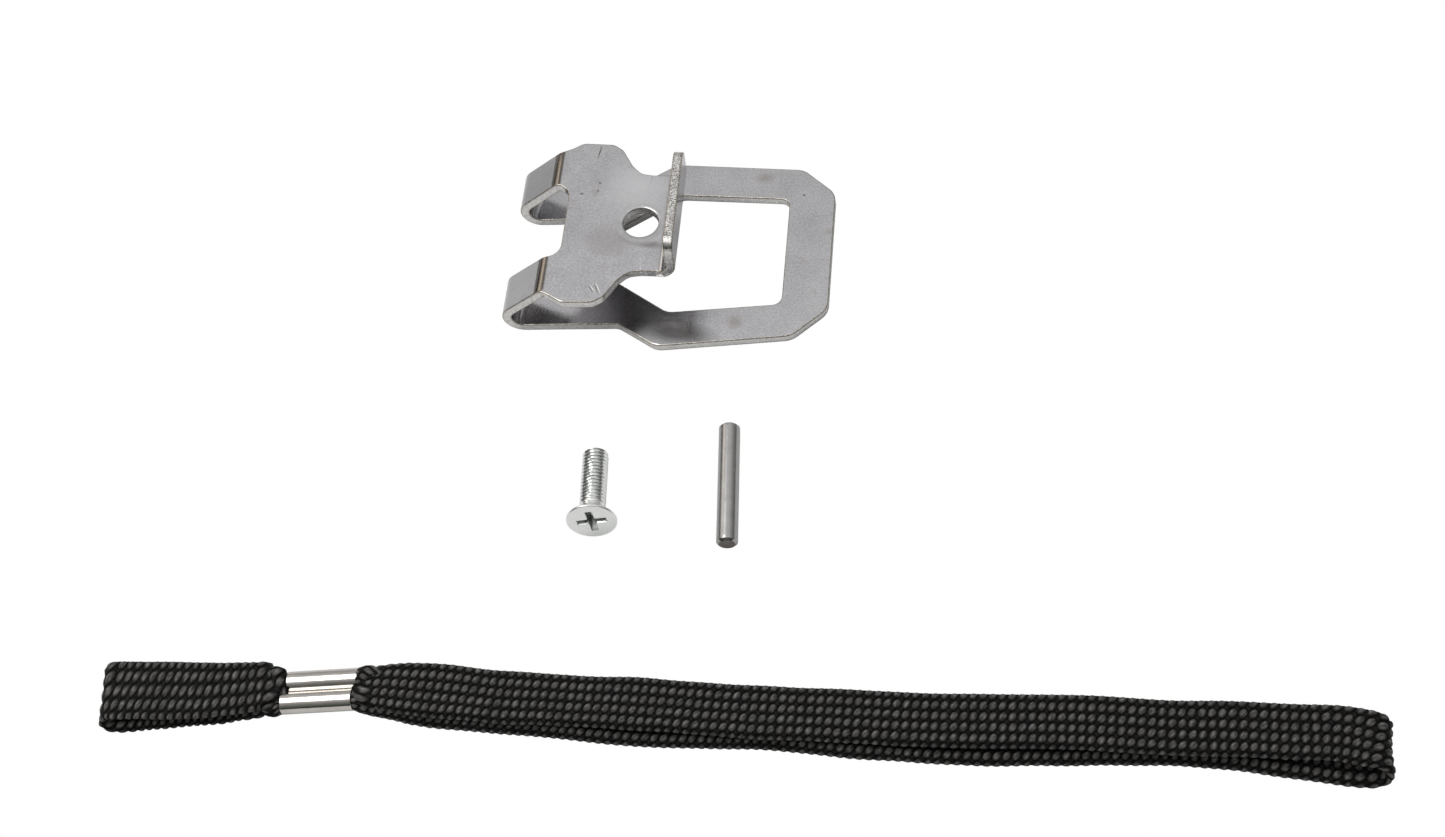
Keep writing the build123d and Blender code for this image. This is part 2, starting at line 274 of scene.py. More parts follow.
def ramp(nt, fac, stops):
    r = nt.nodes.new("ShaderNodeValToRGB")
    while len(r.color_ramp.elements) > 1:
        r.color_ramp.elements.remove(r.color_ramp.elements[-1])
    r.color_ramp.elements[0].position = stops[0][0]
    c = stops[0][1]
    r.color_ramp.elements[0].color = (*c, 1) if isinstance(c, tuple) else (c, c, c, 1)
    for p, c in stops[1:]:
        e = r.color_ramp.elements.new(p)
        e.color = (*c, 1) if isinstance(c, tuple) else (c, c, c, 1)
    nt.links.new(fac, r.inputs["Fac"])
    return r.outputs["Color"]


def maprange(nt, val, a, b, c, d):
    n = nt.nodes.new("ShaderNodeMapRange")
    n.inputs["From Min"].default_value = a
    n.inputs["From Max"].default_value = b
    n.inputs["To Min"].default_value = c
    n.inputs["To Max"].default_value = d
    nt.links.new(val, n.inputs["Value"])
    return n.outputs["Result"]


def math_node(nt, op, a, b=None):
    n = nt.nodes.new("ShaderNodeMath")
    n.operation = op
    for i, v in enumerate((a, b)):
        if v is None:
            continue
        if isinstance(v, (int, float)):
            n.inputs[i].default_value = v
        else:
            nt.links.new(v, n.inputs[i])
    return n.outputs[0]


def mix_color(nt, fac, a, b, blend="MIX"):
    n = nt.nodes.new("ShaderNodeMix")
    n.data_type = "RGBA"
    n.blend_type = blend
    if isinstance(fac, (int, float)):
        n.inputs[0].default_value = fac
    else:
        nt.links.new(fac, n.inputs[0])
    for i, v in ((6, a), (7, b)):
        if isinstance(v, tuple):
            n.inputs[i].default_value = (*v, 1)
        else:
            nt.links.new(v, n.inputs[i])
    return n.outputs[2]


def bump(nt, height, strength, dist, normal=None):
    b = nt.nodes.new("ShaderNodeBump")
    b.inputs["Strength"].default_value = strength
    b.inputs["Distance"].default_value = dist
    nt.links.new(height, b.inputs["Height"])
    if normal is not None:
        nt.links.new(normal, b.inputs["Normal"])
    return b.outputs["Normal"]


def metal(name, c0, c1, r0, r1, mottle=0.35, grain=None, bump_s=0.08, bump_d=0.00004, wave=0.0):
    mat, nt, bsdf = new_mat(name)
    vec = coords(nt)
    n1 = noise(nt, vec, mottle, 4.0, 0.6)
    n2 = noise(nt, vec, mottle * 9, 3.0, 0.6)
    both = math_node(nt, "ADD", math_node(nt, "MULTIPLY", n1, 0.6), math_node(nt, "MULTIPLY", n2, 0.4))
    nt.links.new(ramp(nt, both, [(0.35, c0), (0.65, c1)]), bsdf.inputs["Base Color"])
    bsdf.inputs["Metallic"].default_value = 1.0
    nt.links.new(maprange(nt, both, 0.3, 0.7, r0, r1), bsdf.inputs["Roughness"])
    if grain:
        gv = coords(nt, grain)
        hgt = noise(nt, gv, 1.0, 2.0, 0.5)
    else:
        hgt = noise(nt, vec, 5.0, 3.0, 0.6)
    nrm = bump(nt, hgt, bump_s, bump_d)
    if wave:
        nrm = bump(nt, noise(nt, vec, 0.09, 1.0, 0.4), wave, 0.001, nrm)
    nt.links.new(nrm, bsdf.inputs["Normal"])
    return mat


def spot(nt, centre, half, angle=0.0, soft=0.35):
    """1 inside an ellipse lying flat at `centre` (mm), 0 outside"""
    tc_ = nt.nodes.new("ShaderNodeTexCoord")
    mp = nt.nodes.new("ShaderNodeMapping")
    mp.vector_type = "TEXTURE"
    mp.inputs["Location"].default_value = tuple(q * MM for q in centre)
    mp.inputs["Rotation"].default_value = (0, 0, math.radians(angle))
    mp.inputs["Scale"].default_value = (half[0] * MM, half[1] * MM, (half[2] if len(half) > 2 else 2.2) * MM)
    nt.links.new(tc_.outputs["Object"], mp.inputs["Vector"])
    ln = nt.nodes.new("ShaderNodeVectorMath")
    ln.operation = "LENGTH"
    nt.links.new(mp.outputs["Vector"], ln.inputs[0])
    return maprange(nt, ln.outputs["Value"], 1.0 - soft, 1.0 + soft, 1.0, 0.0)


def plate_material():
    """satin zinc-nickel plate: soft clouds, fine grain, stains and specks, a few scratches, and painted shade,
    reflections and highlights over the crest, around the hole, on the slope and on the lower ring
    """
    mat, nt, bsdf = new_mat("plate_satin")
    vec = coords(nt)
    cloud = noise(nt, vec, 0.16, 3.0, 0.55)
    fine = noise(nt, vec, 2.7, 4.0, 0.72)
    both = math_node(nt, "ADD", math_node(nt, "MULTIPLY", cloud, 0.25), math_node(nt, "MULTIPLY", fine, 0.75))
    col = ramp(nt, both, [(0.36, (0.378, 0.370, 0.380)), (0.50, (0.472, 0.464, 0.476)), (0.64, (0.565, 0.558, 0.568))])
    stain = ramp(nt, noise(nt, vec, 0.33, 2.0, 0.5), [(0.0, 0.0), (0.64, 0.0), (0.80, 0.5), (1.0, 0.6)])
    col = mix_color(nt, stain, col, (0.34, 0.315, 0.285))
    # marks: (centre, half size, turn, softness, strength, colour); real specks, lines and stains, and painted scratch
    # glints, shade, reflections and highlights, as said above each
    marks = [((-31.05, 60.1, 12.9), (0.13, 1.35), -7, 0.5, 0.85, (0.10, 0.085, 0.07)),
             ((-30.11, 52.3, 12.8), (0.26, 0.26), 0, 0.4, 0.85, (0.09, 0.08, 0.07)),
             ((-30.27, 50.3, 12.8), (0.20, 0.30), 0, 0.4, 0.8, (0.10, 0.09, 0.08)),
             ((-33.4, 49.5, 13.0), (0.30, 0.20), 30, 0.4, 0.85, (0.09, 0.08, 0.07)),
             # real scratches, each drawn as a painted bright glint beside a painted dark flank
             ((-28.6, 26.8, 12.7), (0.12, 0.85), 35, 0.5, 0.9, (0.85, 0.84, 0.82)),
             ((-28.9, 26.6, 12.7), (0.10, 0.80), 35, 0.5, 0.8, (0.12, 0.11, 0.10)),
             ((-27.5, 26.9, 12.6), (0.12, 1.15), 24, 0.5, 0.9, (0.85, 0.84, 0.82)),
             ((-27.8, 26.7, 12.6), (0.10, 1.0), 24, 0.5, 0.8, (0.12, 0.11, 0.10)),
             # painted shade: a dark smear along the near side of the hole's rim
             ((-19.3, 37.7, 12.0), (3.2, 0.8), -8, 0.5, 0.72, (0.20, 0.19, 0.18)),
             # painted dark reflection to the left of the hole
             ((-26.2, 38.3, 12.5), (4.2, 3.2), 0, 0.5, 0.38, (0.31, 0.295, 0.28)),
             ((1.1, 61.2, 1.9), (1.5, 1.1), 0, 0.6, 0.5, (0.27, 0.24, 0.21)),
             ((-2.2, 25.9, 1.9), (1.3, 1.3), 0, 0.6, 0.5, (0.27, 0.24, 0.21)),
             ((9.4, 56.6, 1.9), (0.25, 0.22), 0, 0.4, 0.85, (0.09, 0.08, 0.07)),
             # painted dark reflection of the upper plate's underside on the lower ring's near bar
             ((-14.2, 23.5, 2.2), (6.4, 2.2), -10, 0.6, 0.88, (0.085, 0.082, 0.08)),
             # painted highlight: a lighter patch on the upper plate beyond the hole
             ((-21.9, 51.6, 12.8), (5.2, 5.6), 0, 0.8, 0.85, (0.64, 0.632, 0.645)),
             # painted darker reflection on the far part of the slope
             ((-43.5, 54.9, 9.0), (6.0, 7.5, 6.0), 0, 0.35, 0.55, (0.27, 0.268, 0.275)),
             # painted highlight on the pressed rim, lighter to the right and near side
             ((-20.3, 41.8, 12.3), (4.2, 4.2), 0, 0.12, 0.55, (0.60, 0.592, 0.595))]
    for centre, half_, ang, soft, k, c in marks:
        col = mix_color(nt, math_node(nt, "MULTIPLY", spot(nt, centre, half_, ang, soft), k), col, c)
    # painted reflection over the crest: a dark band, then a brown highlight, then a thin dark line, across the bend
    att = nt.nodes.new("ShaderNodeAttribute")
    att.attribute_name = "blank"
    sp = nt.nodes.new("ShaderNodeSeparateXYZ")
    nt.links.new(att.outputs["Vector"], sp.inputs[0])
    q = maprange(nt, math_node(nt, "ADD", sp.outputs[0], math_node(nt, "MULTIPLY", math_node(nt, "SUBTRACT", fine, 0.5), 0.5)),
                 BEND_X - D_END[2] + 0.75, BEND_X - D_END[3] - 0.12, 0.0, 1.0)
    crest_painted_col = ramp(nt, q, [(0.0, (0.30, 0.29, 0.29)), (0.10, (0.08, 0.072, 0.062)), (0.44, (0.095, 0.083, 0.07)), (0.54, (0.22, 0.188, 0.153)),
                             (0.74, (0.27, 0.235, 0.195)), (0.84, (0.09, 0.076, 0.062)), (1.0, (0.33, 0.32, 0.31))])
    crest_painted_k = ramp(nt, q, [(0.0, 0.0), (0.001, 0.0), (0.12, 0.92), (0.88, 0.92), (0.999, 0.0), (1.0, 0.0)])
    col = mix_color(nt, crest_painted_k, col, crest_painted_col)
    nt.links.new(col, bsdf.inputs["Base Color"])
    bsdf.inputs["Metallic"].default_value = 1.0
    nt.links.new(maprange(nt, both, 0.34, 0.66, 0.13, 0.23), bsdf.inputs["Roughness"])
    # long faint scratches in two directions
    hgt = noise(nt, vec, 4.2, 3.0, 0.65)
    nrm = bump(nt, hgt, 0.20, 0.00003)
    for turn_, sc in ((20, (90, 2600, 90)), (-35, (60, 2100, 60))):
        mp = nt.nodes.new("ShaderNodeMapping")
        mp.inputs["Rotation"].default_value = (0, 0, math.radians(turn_))
        mp.inputs["Scale"].default_value = sc
        tc_ = nt.nodes.new("ShaderNodeTexCoord")
        nt.links.new(tc_.outputs["Object"], mp.inputs["Vector"])
        line = ramp(nt, noise(nt, mp.outputs["Vector"], 1.0, 1.0, 0.4), [(0.0, 0.0), (0.69, 0.0), (0.74, 1.0), (1.0, 1.0)])
        nrm = bump(nt, line, 0.10, 0.00003, nrm)
    nrm = bump(nt, noise(nt, vec, 0.09, 1.0, 0.4), 0.06, 0.001, nrm)
    nt.links.new(nrm, bsdf.inputs["Normal"])
    return mat


def edge_material(name, c0, c1, pit, r0, r1, brown=None, bump_s=0.35, torn=0.33):
    """sheared edge: torn grain with dark pits; brown where the face meets the flats"""
    mat, nt, bsdf = new_mat(name)
    vec = coords(nt)
    n1 = noise(nt, vec, 1.1, 4.0, 0.65)
    n2 = noise(nt, vec, 3.4, 2.0, 0.6)
    base = ramp(nt, n1, [(0.34, c0), (0.66, c1)])
    pits = ramp(nt, n2, [(0.0, 1.0), (torn, 1.0), (torn + 0.07, 0.0), (1.0, 0.0)])
    col = mix_color(nt, pits, base, pit)
    if brown:
        att = nt.nodes.new("ShaderNodeAttribute")
        att.attribute_name = "blank"
        sp = nt.nodes.new("ShaderNodeSeparateXYZ")
        nt.links.new(att.outputs["Vector"], sp.inputs[0])
        hh_ = math_node(nt, "ABSOLUTE", sp.outputs[2])
        wig = math_node(nt, "ADD", hh_, math_node(nt, "MULTIPLY", math_node(nt, "SUBTRACT", n1, 0.5), 0.5))
        col = mix_color(nt, maprange(nt, wig, 0.60, 0.78, 0.0, 0.85), col, brown)
    nt.links.new(col, bsdf.inputs["Base Color"])
    bsdf.inputs["Metallic"].default_value = 1.0
    nt.links.new(maprange(nt, n1, 0.3, 0.7, r0, r1), bsdf.inputs["Roughness"])
    nt.links.new(bump(nt, math_node(nt, "ADD", n1, math_node(nt, "MULTIPLY", n2, 0.6)), bump_s, 0.0001), bsdf.inputs["Normal"])
    return mat


wall_mat = edge_material("plate_edge", (0.58, 0.572, 0.562), (0.76, 0.75, 0.735), (0.30, 0.285, 0.265), 0.18, 0.30, brown=(0.30, 0.235, 0.165), bump_s=0.4)
torn_mat = edge_material("plate_edge_torn", (0.42, 0.41, 0.395), (0.86, 0.85, 0.83), (0.10, 0.09, 0.078), 0.24, 0.38, brown=(0.27, 0.20, 0.13), bump_s=1.0,
                         torn=0.40)
round_mat = edge_material("plate_rounding", (0.30, 0.275, 0.24), (0.50, 0.475, 0.435), (0.16, 0.14, 0.115), 0.20, 0.32, bump_s=0.2)
rim_mat = metal("hole_rim_pressed", (0.43, 0.423, 0.43), (0.54, 0.533, 0.54), 0.15, 0.24, mottle=0.9, bump_s=0.16)
# the pin's end faces: rough, and coloured dark as a painted dark reflection
pin_end_dark_mat = metal("pin_end_rough_painted_dark", (0.10, 0.092, 0.084), (0.19, 0.176, 0.160), 0.35, 0.5, mottle=1.2, bump_s=0.4)
pin_mat = metal("pin_ground", (0.365, 0.36, 0.355), (0.43, 0.425, 0.418), 0.22, 0.28, mottle=0.6, grain=(600, 9000, 600), bump_s=0.1)
screw_mat = metal("screw_zinc", (0.79, 0.80, 0.79), (0.90, 0.91, 0.895), 0.16, 0.26, mottle=1.2, bump_s=0.14)
recess_mat = metal("screw_recess", (0.32, 0.34, 0.32), (0.72, 0.735, 0.71), 0.22, 0.34, mottle=1.6, bump_s=0.4)
ferrule_mat = metal("ferrule_nickel", (0.52, 0.488, 0.455), (0.62, 0.592, 0.56), 0.11, 0.17, mottle=0.6,
                    grain=(250, 5000, 5000), bump_s=0.06)


def braid_material(name):
    """yarn coordinates come from the mesh: x along the yarn, y across it, z which yarn it is"""
    mat, nt, bsdf = new_mat(name)
    att = nt.nodes.new("ShaderNodeAttribute")
    att.attribute_name = "yarn"
    mp = nt.nodes.new("ShaderNodeMapping")
    mp.inputs["Scale"].default_value = (0.9, 11.0, 3.0)
    nt.links.new(att.outputs["Vector"], mp.inputs["Vector"])
    fil = noise(nt, mp.outputs["Vector"], 1.0, 2.0, 0.5)
    mp2 = nt.nodes.new("ShaderNodeMapping")
    mp2.inputs["Scale"].default_value = (1.1, 2.0, 7.0)
    nt.links.new(att.outputs["Vector"], mp2.inputs["Vector"])
    tone = noise(nt, mp2.outputs["Vector"], 1.0, 2.0, 0.55)
    fibre = math_node(nt, "ADD", math_node(nt, "MULTIPLY", fil, 0.5), math_node(nt, "MULTIPLY", tone, 0.5))
    # painted sheen: the yarn set that lies across the light is coloured paler, for the light its fibres catch; both
    # sets are the same black yarn
    sheen_painted_col = ramp(nt, fibre, [(0.37, (0.034, 0.0325, 0.031)), (0.51, (0.092, 0.088, 0.084)), (0.63, (0.200, 0.193, 0.185))])
    deep = ramp(nt, fibre, [(0.38, (0.002, 0.0019, 0.0018)), (0.64, (0.034, 0.033, 0.032))])
    which = nt.nodes.new("ShaderNodeAttribute")
    which.attribute_name = "set"
    depth = nt.nodes.new("ShaderNodeAttribute")
    depth.attribute_name = "yarn_gap_shade"
    top = mix_color(nt, which.outputs["Fac"], deep, sheen_painted_col)
    # painted shade: the gaps where a yarn dives under another are coloured near black
    col = mix_color(nt, depth.outputs["Fac"], (0.0003, 0.0003, 0.0003), top)
    nt.links.new(col, bsdf.inputs["Base Color"])
    nt.links.new(maprange(nt, fibre, 0.3, 0.7, 0.66, 0.52), bsdf.inputs["Roughness"])
    bsdf.inputs["Specular IOR Level"].default_value = 0.06
    nt.links.new(bump(nt, fil, 0.6, 0.00007), bsdf.inputs["Normal"])
    return mat


braid_mat = braid_material("black_braid")

# -------------------------------------------------------------- latch plate
T = 1.9
BEND_OUT, BEND_X = 4.0, -28.3
SLOPE, TILT, CREST_OUT_R = 38.3, 4.0, 2.4
CREST_X, CREST_Z = -22.9, 13.4
TAB_FACE, TAB_H, TAB_BEND_OUT = 26.25, 8.7, 3.9
s_, c_ = math.sin(math.radians(SLOPE)), math.cos(math.radians(SLOPE))
ts, tc = math.sin(math.radians(TILT)), math.cos(math.radians(TILT))
sx, sz = BEND_X - BEND_OUT * s_, BEND_OUT + BEND_OUT * c_
kk = ((CREST_Z - sz) + (CREST_X - sx) * ts / tc) / (s_ + c_ * ts / tc)
CX0, CZ0 = sx + kk * c_, sz + kk * s_
turn = math.radians(SLOPE + TILT)
set_back = CREST_OUT_R * math.tan(turn / 2)
SEG = [  # (length, turning per length; + is anticlockwise in the XZ plane)
    ((BEND_OUT - T / 2) * math.radians(180 - SLOPE), -1 / (BEND_OUT - T / 2)),
    (kk - set_back, 0.0),
    ((CREST_OUT_R - T / 2) * turn, -1 / (CREST_OUT_R - T / 2)),
    (TAB_FACE - TAB_BEND_OUT - set_back, 0.0),
    ((TAB_BEND_OUT - T / 2) * math.pi / 2, 1 / (TAB_BEND_OUT - T / 2)),
    (TAB_H - (TAB_BEND_OUT - T), 0.0)]
D_END = [0.0]
for length, _ in SEG:
    D_END.append(D_END[-1] + length)


def fold_up(d):
    """middle of the sheet, and its heading, at developed distance d past the start of the U-bend"""
    x, z, head = BEND_X, T / 2, math.pi
    for (length, k), d0 in zip(SEG, D_END):
        q = min(max(d - d0, 0.0), length)
        if k == 0:
            x += q * math.cos(head)
            z += q * math.sin(head)
        else:
            h2 = head + k * q
            x += (math.sin(h2) - math.sin(head)) / k
            z += (math.cos(head) - math.cos(h2)) / k
            head = h2
        if d < d0 + length:
            return x, z, head
    extra = d - D_END[-1]
    return x + extra * math.cos(head), z + extra * math.sin(head), head


def bent(s, y, h):
    if s >= BEND_X:
        return s + LX, y + LY, T / 2 + h
    x, z, head = fold_up(BEND_X - s)
    # the ring's upper side is on the right of the direction of travel
    return x + h * math.sin(head) + LX, y + LY, z - h * math.cos(head)


def s_up(x):
    """developed place of a point of the upper plate given by its x in plan"""
    a = (x - CX0) / tc
    if a < -set_back:
        return BEND_X - (D_END[2] + (a + set_back) / math.cos(turn))
    if a < set_back:
        return BEND_X - (D_END[2] + SEG[2][0] * (a + set_back) / (2 * set_back))
    return BEND_X - (D_END[3] + a - set_back)


S_TOP = BEND_X - D_END[-1]
plate_mat = plate_material()
half = [(31.9, 14.1, 4.0), (25.1, 20.3, 4.0), (-1.4, 22.391, 4.0), (-9.5, 17.15, 2.5),
        (s_up(CX0 - 0.2), 17.15, 2.5), (s_up(-20.4), 18.2, 0), (s_up(-18.4), 19.5, 2.5), (s_up(-12.2), 19.3, 2.5),
        (s_up(-10.2), 17.9, 2.5), (s_up(-7.9), 14.0, 4.0), (s_up(-6.0), 12.05, 3.0), (s_up(-3.6), 11.7, 2.0),
        (s_up(-0.5), 11.7, 1.5), (s_up(0.6), 12.0, 1.0), (S_TOP, 12.0, 2.5)]
loop = [(x, y, r) for x, y, r in half] + [(x, -y, r) for x, y, r in reversed(half)]
outer = round_loop([(x, y) for x, y, _ in loop], [r for _, _, r in loop], 8)
ring_hole = round_loop([(-12.0, -6.2), (0.2, -14.4), (22.7, -12.8), (22.7, 12.8), (0.2, 14.4), (-12.0, 6.2)],
                       [2.0, 3.5, 2.0, 2.0, 3.5, 2.0], 8)
s_notch = s_up(-19.9)
gap_hole = round_loop([(-20.4, -8.8), (-20.4, 8.8), (s_notch, 8.8), (s_notch, -8.8)], 3.0, 8)
s_hole = s_up(-4.8)
round_hole = [(s_hole + 3.6 * math.cos(2 * math.pi * i / 64), 3.6 * math.sin(2 * math.pi * i / 64)) for i in range(64)]
ER = 0.22


def edge_profile(r0, r1, n=3):
    """rounded by r0 at the lower face and r1 at the upper one"""
    a = [(r0 * (1 - math.sin(math.pi / 2 * i / n)), -T / 2 + r0 * (1 - math.cos(math.pi / 2 * i / n))) for i in range(n + 1)]
    b = [(r1 * (1 - math.cos(math.pi / 2 * i / n)), T / 2 - r1 * (1 - math.sin(math.pi / 2 * i / n))) for i in range(n + 1)]
    return a + b


# a pressed flat rim surrounds the hole on the upper plate's outside, which is the blank's lower side
sink = [(1.46, -T / 2), (1.36, -T / 2 + 0.006), (1.20, -T / 2 + 0.022), (1.05, -T / 2 + 0.028), (0.75, -T / 2 + 0.032), (0.30, -T / 2 + 0.045),
        (0.16, -T / 2 + 0.09), (0.05, -T / 2 + 0.20), (0.0, -T / 2 + 0.36), (0.0, T / 2 - 0.15), (0.05, T / 2 - 0.05), (0.15, T / 2)]
BURR = 0.13                                       # the hole is drawn in a little where it was pressed
sink = [(d_ - BURR, h_) for d_, h_ in sink]
v, f, kind = slab(outer, [ring_hole, gap_hole, round_hole], T, edge_profile(ER, ER), prof={3: sink})
kind = [3 if (k == 2 and all(abs(math.hypot(v[i][0] - s_hole, v[i][1]) - 4.5) < 1.0 and v[i][2] < -T / 2 + 0.3 for i in q)) else k
        for q, k in zip(f, kind)]
# the free end of the sheet, along the tab's top, is torn rather than cut
kind = [4 if (k == 1 and all(abs(v[i][0] - S_TOP) < 0.3 for i in q)) else k for q, k in zip(f, kind)]
print("torn faces", kind.count(4))
latch = mesh_object("latch_plate_bent", np.array(v) / MM, f, (plate_mat, wall_mat, round_mat, rim_mat, torn_mat), kind)
places = []
for (length, k), d0 in zip(SEG, D_END):
    if k:
        n = max(4, int(round(abs(k) * length / math.radians(4.5))))
        places += [BEND_X - (d0 + length * i / n) for i in range(n + 1)]
    else:
        places += [BEND_X - (d0 + length * 0.5)]
places += [BEND_X + 4, -20.0, -14.0, -6.0, 4, 12, 20, 28]
cut_lines(latch, 0, sorted(set(places)))
cut_lines(latch, 1, [-13, -6, 0.0, 6, 13])
co = np.zeros(len(latch.data.vertices) * 3)
latch.data.vertices.foreach_get("co", co)
co = co.reshape(-1, 3)
blank = co.copy()
new = np.array([bent(*p) for p in co]) * MM
latch.data.vertices.foreach_set("co", new.reshape(-1))
at = latch.data.attributes.new("blank", "FLOAT_VECTOR", "POINT")
at.data.foreach_set("vector", blank.reshape(-1).astype(np.float32))
outward(latch)
latch.data.polygons.foreach_set("use_smooth", np.ones(len(latch.data.polygons), bool))
latch = weighted(latch)
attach(latch, "latch")
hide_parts("latch_plate")


# ----------------------------------------------------------- turned pieces
def lathe(profile, n, frame_m, wobble=None):
    """profile (r, z) from one end on the axis to the other; frame_m 4x4, mm"""
    verts, faces = [], []
    prof = list(profile)
    rings = []
    for r, z in prof:
        if r < 1e-9:
            rings.append([len(verts)])
            verts.append((0, 0, z))
        else:
            rings.append(list(range(len(verts), len(verts) + n)))
            verts += [(r * math.cos(2 * math.pi * i / n), r * math.sin(2 * math.pi * i / n), z) for i in range(n)]
    for a, b in zip(rings[:-1], rings[1:]):
        if len(a) == 1:
            faces += [(a[0], b[i], b[(i + 1) % n]) for i in range(n)]
        elif len(b) == 1:
            faces += [(a[(i + 1) % n], a[i], b[0]) for i in range(n)]
        else:
            faces += [(a[(i + 1) % n], a[i], b[i], b[(i + 1) % n]) for i in range(n)]
    p = np.array(verts, float)
    p = p @ np.array(frame_m)[:3, :3].T + np.array(frame_m)[:3, 3]
    return p, faces


def arc(cx, cz, r, a0, a1, n):
    return [(cx + r * math.cos(math.radians(a0 + (a1 - a0) * i / n)), cz + r * math.sin(math.radians(a0 + (a1 - a0) * i / n)))
            for i in range(n + 1)]


# hinge pin
PR, PL, PCH = 2.0, 25.0, 0.4
prof = [(0, -PL / 2)] + [(r, -PL / 2) for r in (0.5, 1.0, 1.4)] + arc(PR - PCH - 0.08, -PL / 2 + 0.08, 0.08, -90, -45, 3)
prof += arc(PR - 0.15, -PL / 2 + PCH + 0.09, 0.15, -45, 0, 3)
prof += [(PR, z) for z in np.linspace(-PL / 2 + 1.2, PL / 2 - 1.2, 24)]
prof += [(r, -z) for r, z in reversed(arc(PR - 0.15, -PL / 2 + PCH + 0.09, 0.15, -45, 0, 3))]
prof += [(r, -z) for r, z in reversed(arc(PR - PCH - 0.08, -PL / 2 + 0.08, 0.08, -90, -45, 3))]
prof += [(r, PL / 2) for r in (1.4, 1.0, 0.5)] + [(0, PL / 2)]
pin_frame = Matrix.Translation((LX + 15.7, LY - 53.2, PR)) @ Matrix.Rotation(math.radians(3.7), 4, "Z") @ \
    Matrix.Rotation(math.radians(90), 4, "X")
v, f = lathe(prof, 96, pin_frame)
pin_mid = np.mean(v, 0)
along = np.array(pin_frame)[:3, 2]
# the end faces, which take the painted dark reflection
ends = [1 if abs((np.mean(v[list(q)], 0) - pin_mid) @ along) > PL / 2 - 0.14 else 0 for q in f]
pin = mesh_object("hinge_pin_ground", v, f, (pin_mat, pin_end_dark_mat), ends)
outward(pin)
pin = weighted(pin)
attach(pin, "pin")
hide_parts("hinge_pin")

# countersunk screw: helical thread, cone, rim, and a face with a pressed cross recess
SL_, SR, HR = 16.0, 2.45, 4.7
EDGE = 0.3
tau = math.atan((HR - SR) / (SL_ - 0.6 - EDGE))
head_h = HR * math.cos(tau) + EDGE * math.sin(tau)
screw_frame = Matrix.Translation((LX - 8.5, LY - 62.6, head_h)) @ Matrix.Rotation(math.radians(5.8), 4, "Z") @ \
    Matrix.Rotation(math.pi / 2 - tau, 4, "X") @ Matrix.Rotation(math.radians(3.0), 4, "Z")
PITCH, MINOR = 0.8, 2.06
NT = 96
cone_top = -EDGE - (HR - SR)          # where the cone meets the shank
zs = np.concatenate([np.linspace(-SL_, cone_top - 0.5, 150), np.linspace(cone_top - 0.4, cone_top, 5)])
th = np.arange(NT) * 2 * math.pi / NT
Z, TH = np.meshgrid(zs, th, indexing="ij")
ph = (Z / PITCH - TH / (2 * math.pi)) % 1.0
tri = 1 - np.abs(2 * ph - 1)                       # 0 at the root, 1 at the crest
prof_t = smoothstep(0.10, 0.86, tri) * 0.35 + np.clip((tri - 0.12) / 0.74, 0, 1) * 0.65
run = 1 - smoothstep(cone_top - 1.5, cone_top - 0.5, Z)
depth = (SR - MINOR) * (1 - prof_t) * run
rad = SR - 0.10 * (1 - run) - depth
tip = 1.50 + 1.25 * np.sqrt(np.clip(Z + SL_, 0, None))  # rounded lead
rad = np.minimum(rad, tip)
verts = [(0, 0, -SL_)]
for rr in (0.6, 1.1):
    verts += [(rr * math.cos(a), rr * math.sin(a), -SL_) for a in th]
body0 = len(verts)
verts += list(zip((rad * np.cos(TH)).ravel(), (rad * np.sin(TH)).ravel(), Z.ravel()))
faces = [(0, 1 + (i + 1) % NT, 1 + i) for i in range(NT)]
nrow = 2 + len(zs)


def ringrow(k):
    return 1 + k * NT


for k in range(nrow - 1):
    a, b = ringrow(k), ringrow(k + 1)
    faces += [(a + i, a + (i + 1) % NT, b + (i + 1) % NT, b + i) for i in range(NT)]
# cone and rim
rows = [(SR + 0.02, cone_top + 0.06), (SR + 0.8, cone_top + 0.8), (HR - 0.8, -EDGE - 0.8), (HR - 0.12, -EDGE - 0.12)]
rows += arc(HR - 0.14, -EDGE + 0.06 - 0.10, 0.14, -40, 0, 3)
rows += arc(HR - 0.16, -0.16, 0.16, 0, 80, 4)
for rr, z in rows:
    verts += [(rr * math.cos(a), rr * math.sin(a), z) for a in th]
total = nrow + len(rows)
for k in range(nrow - 1, total - 1):
    a, b = ringrow(k), ringrow(k + 1)
    faces += [(a + i, a + (i + 1) % NT, b + (i + 1) % NT, b + i) for i in range(NT)]


def cross(length, width, corner):
    """outline of a cross with rounded arm ends and filleted inner corners"""
    l_, w_ = length, width
    pts = [(l_, -w_), (l_, w_), (w_, w_), (w_, l_), (-w_, l_), (-w_, w_), (-l_, w_), (-l_, -w_), (-w_, -w_), (-w_, -l_), (w_, -l_), (w_, -w_)]
    rr = [corner, corner, corner * 1.6] * 4
    return round_loop(pts, rr, 4)


levels = [(0.0, cross(2.86, 0.69, 0.20)), (-0.06, cross(2.80, 0.64, 0.18)), (-0.62, cross(2.42, 0.55, 0.16)),
          (-1.35, cross(1.85, 0.43, 0.14)), (-2.1, cross(1.05, 0.30, 0.10))]
NH = 192
hth = np.arange(NH) * 2 * math.pi / NH
FACE_R = 4.42
hv = [(FACE_R * math.cos(a), FACE_R * math.sin(a), 0.015) for a in hth]
nc = len(levels[0][1])
for z, lp in levels:
    hv += [(x, y, z) for x, y in lp]
hf, hk = [], []
for k in range(len(levels) - 1):
    a, b = NH + k * nc, NH + (k + 1) * nc
    hf += [(a + i, a + (i + 1) % nc, b + (i + 1) % nc, b + i) for i in range(nc)]
    hk += [0 if k == 0 else 1] * nc
a = NH + (len(levels) - 1) * nc
hv.append((0, 0, -2.25))
hf += [(a + i, a + (i + 1) % nc, len(hv) - 1) for i in range(nc)]
hk += [1] * nc
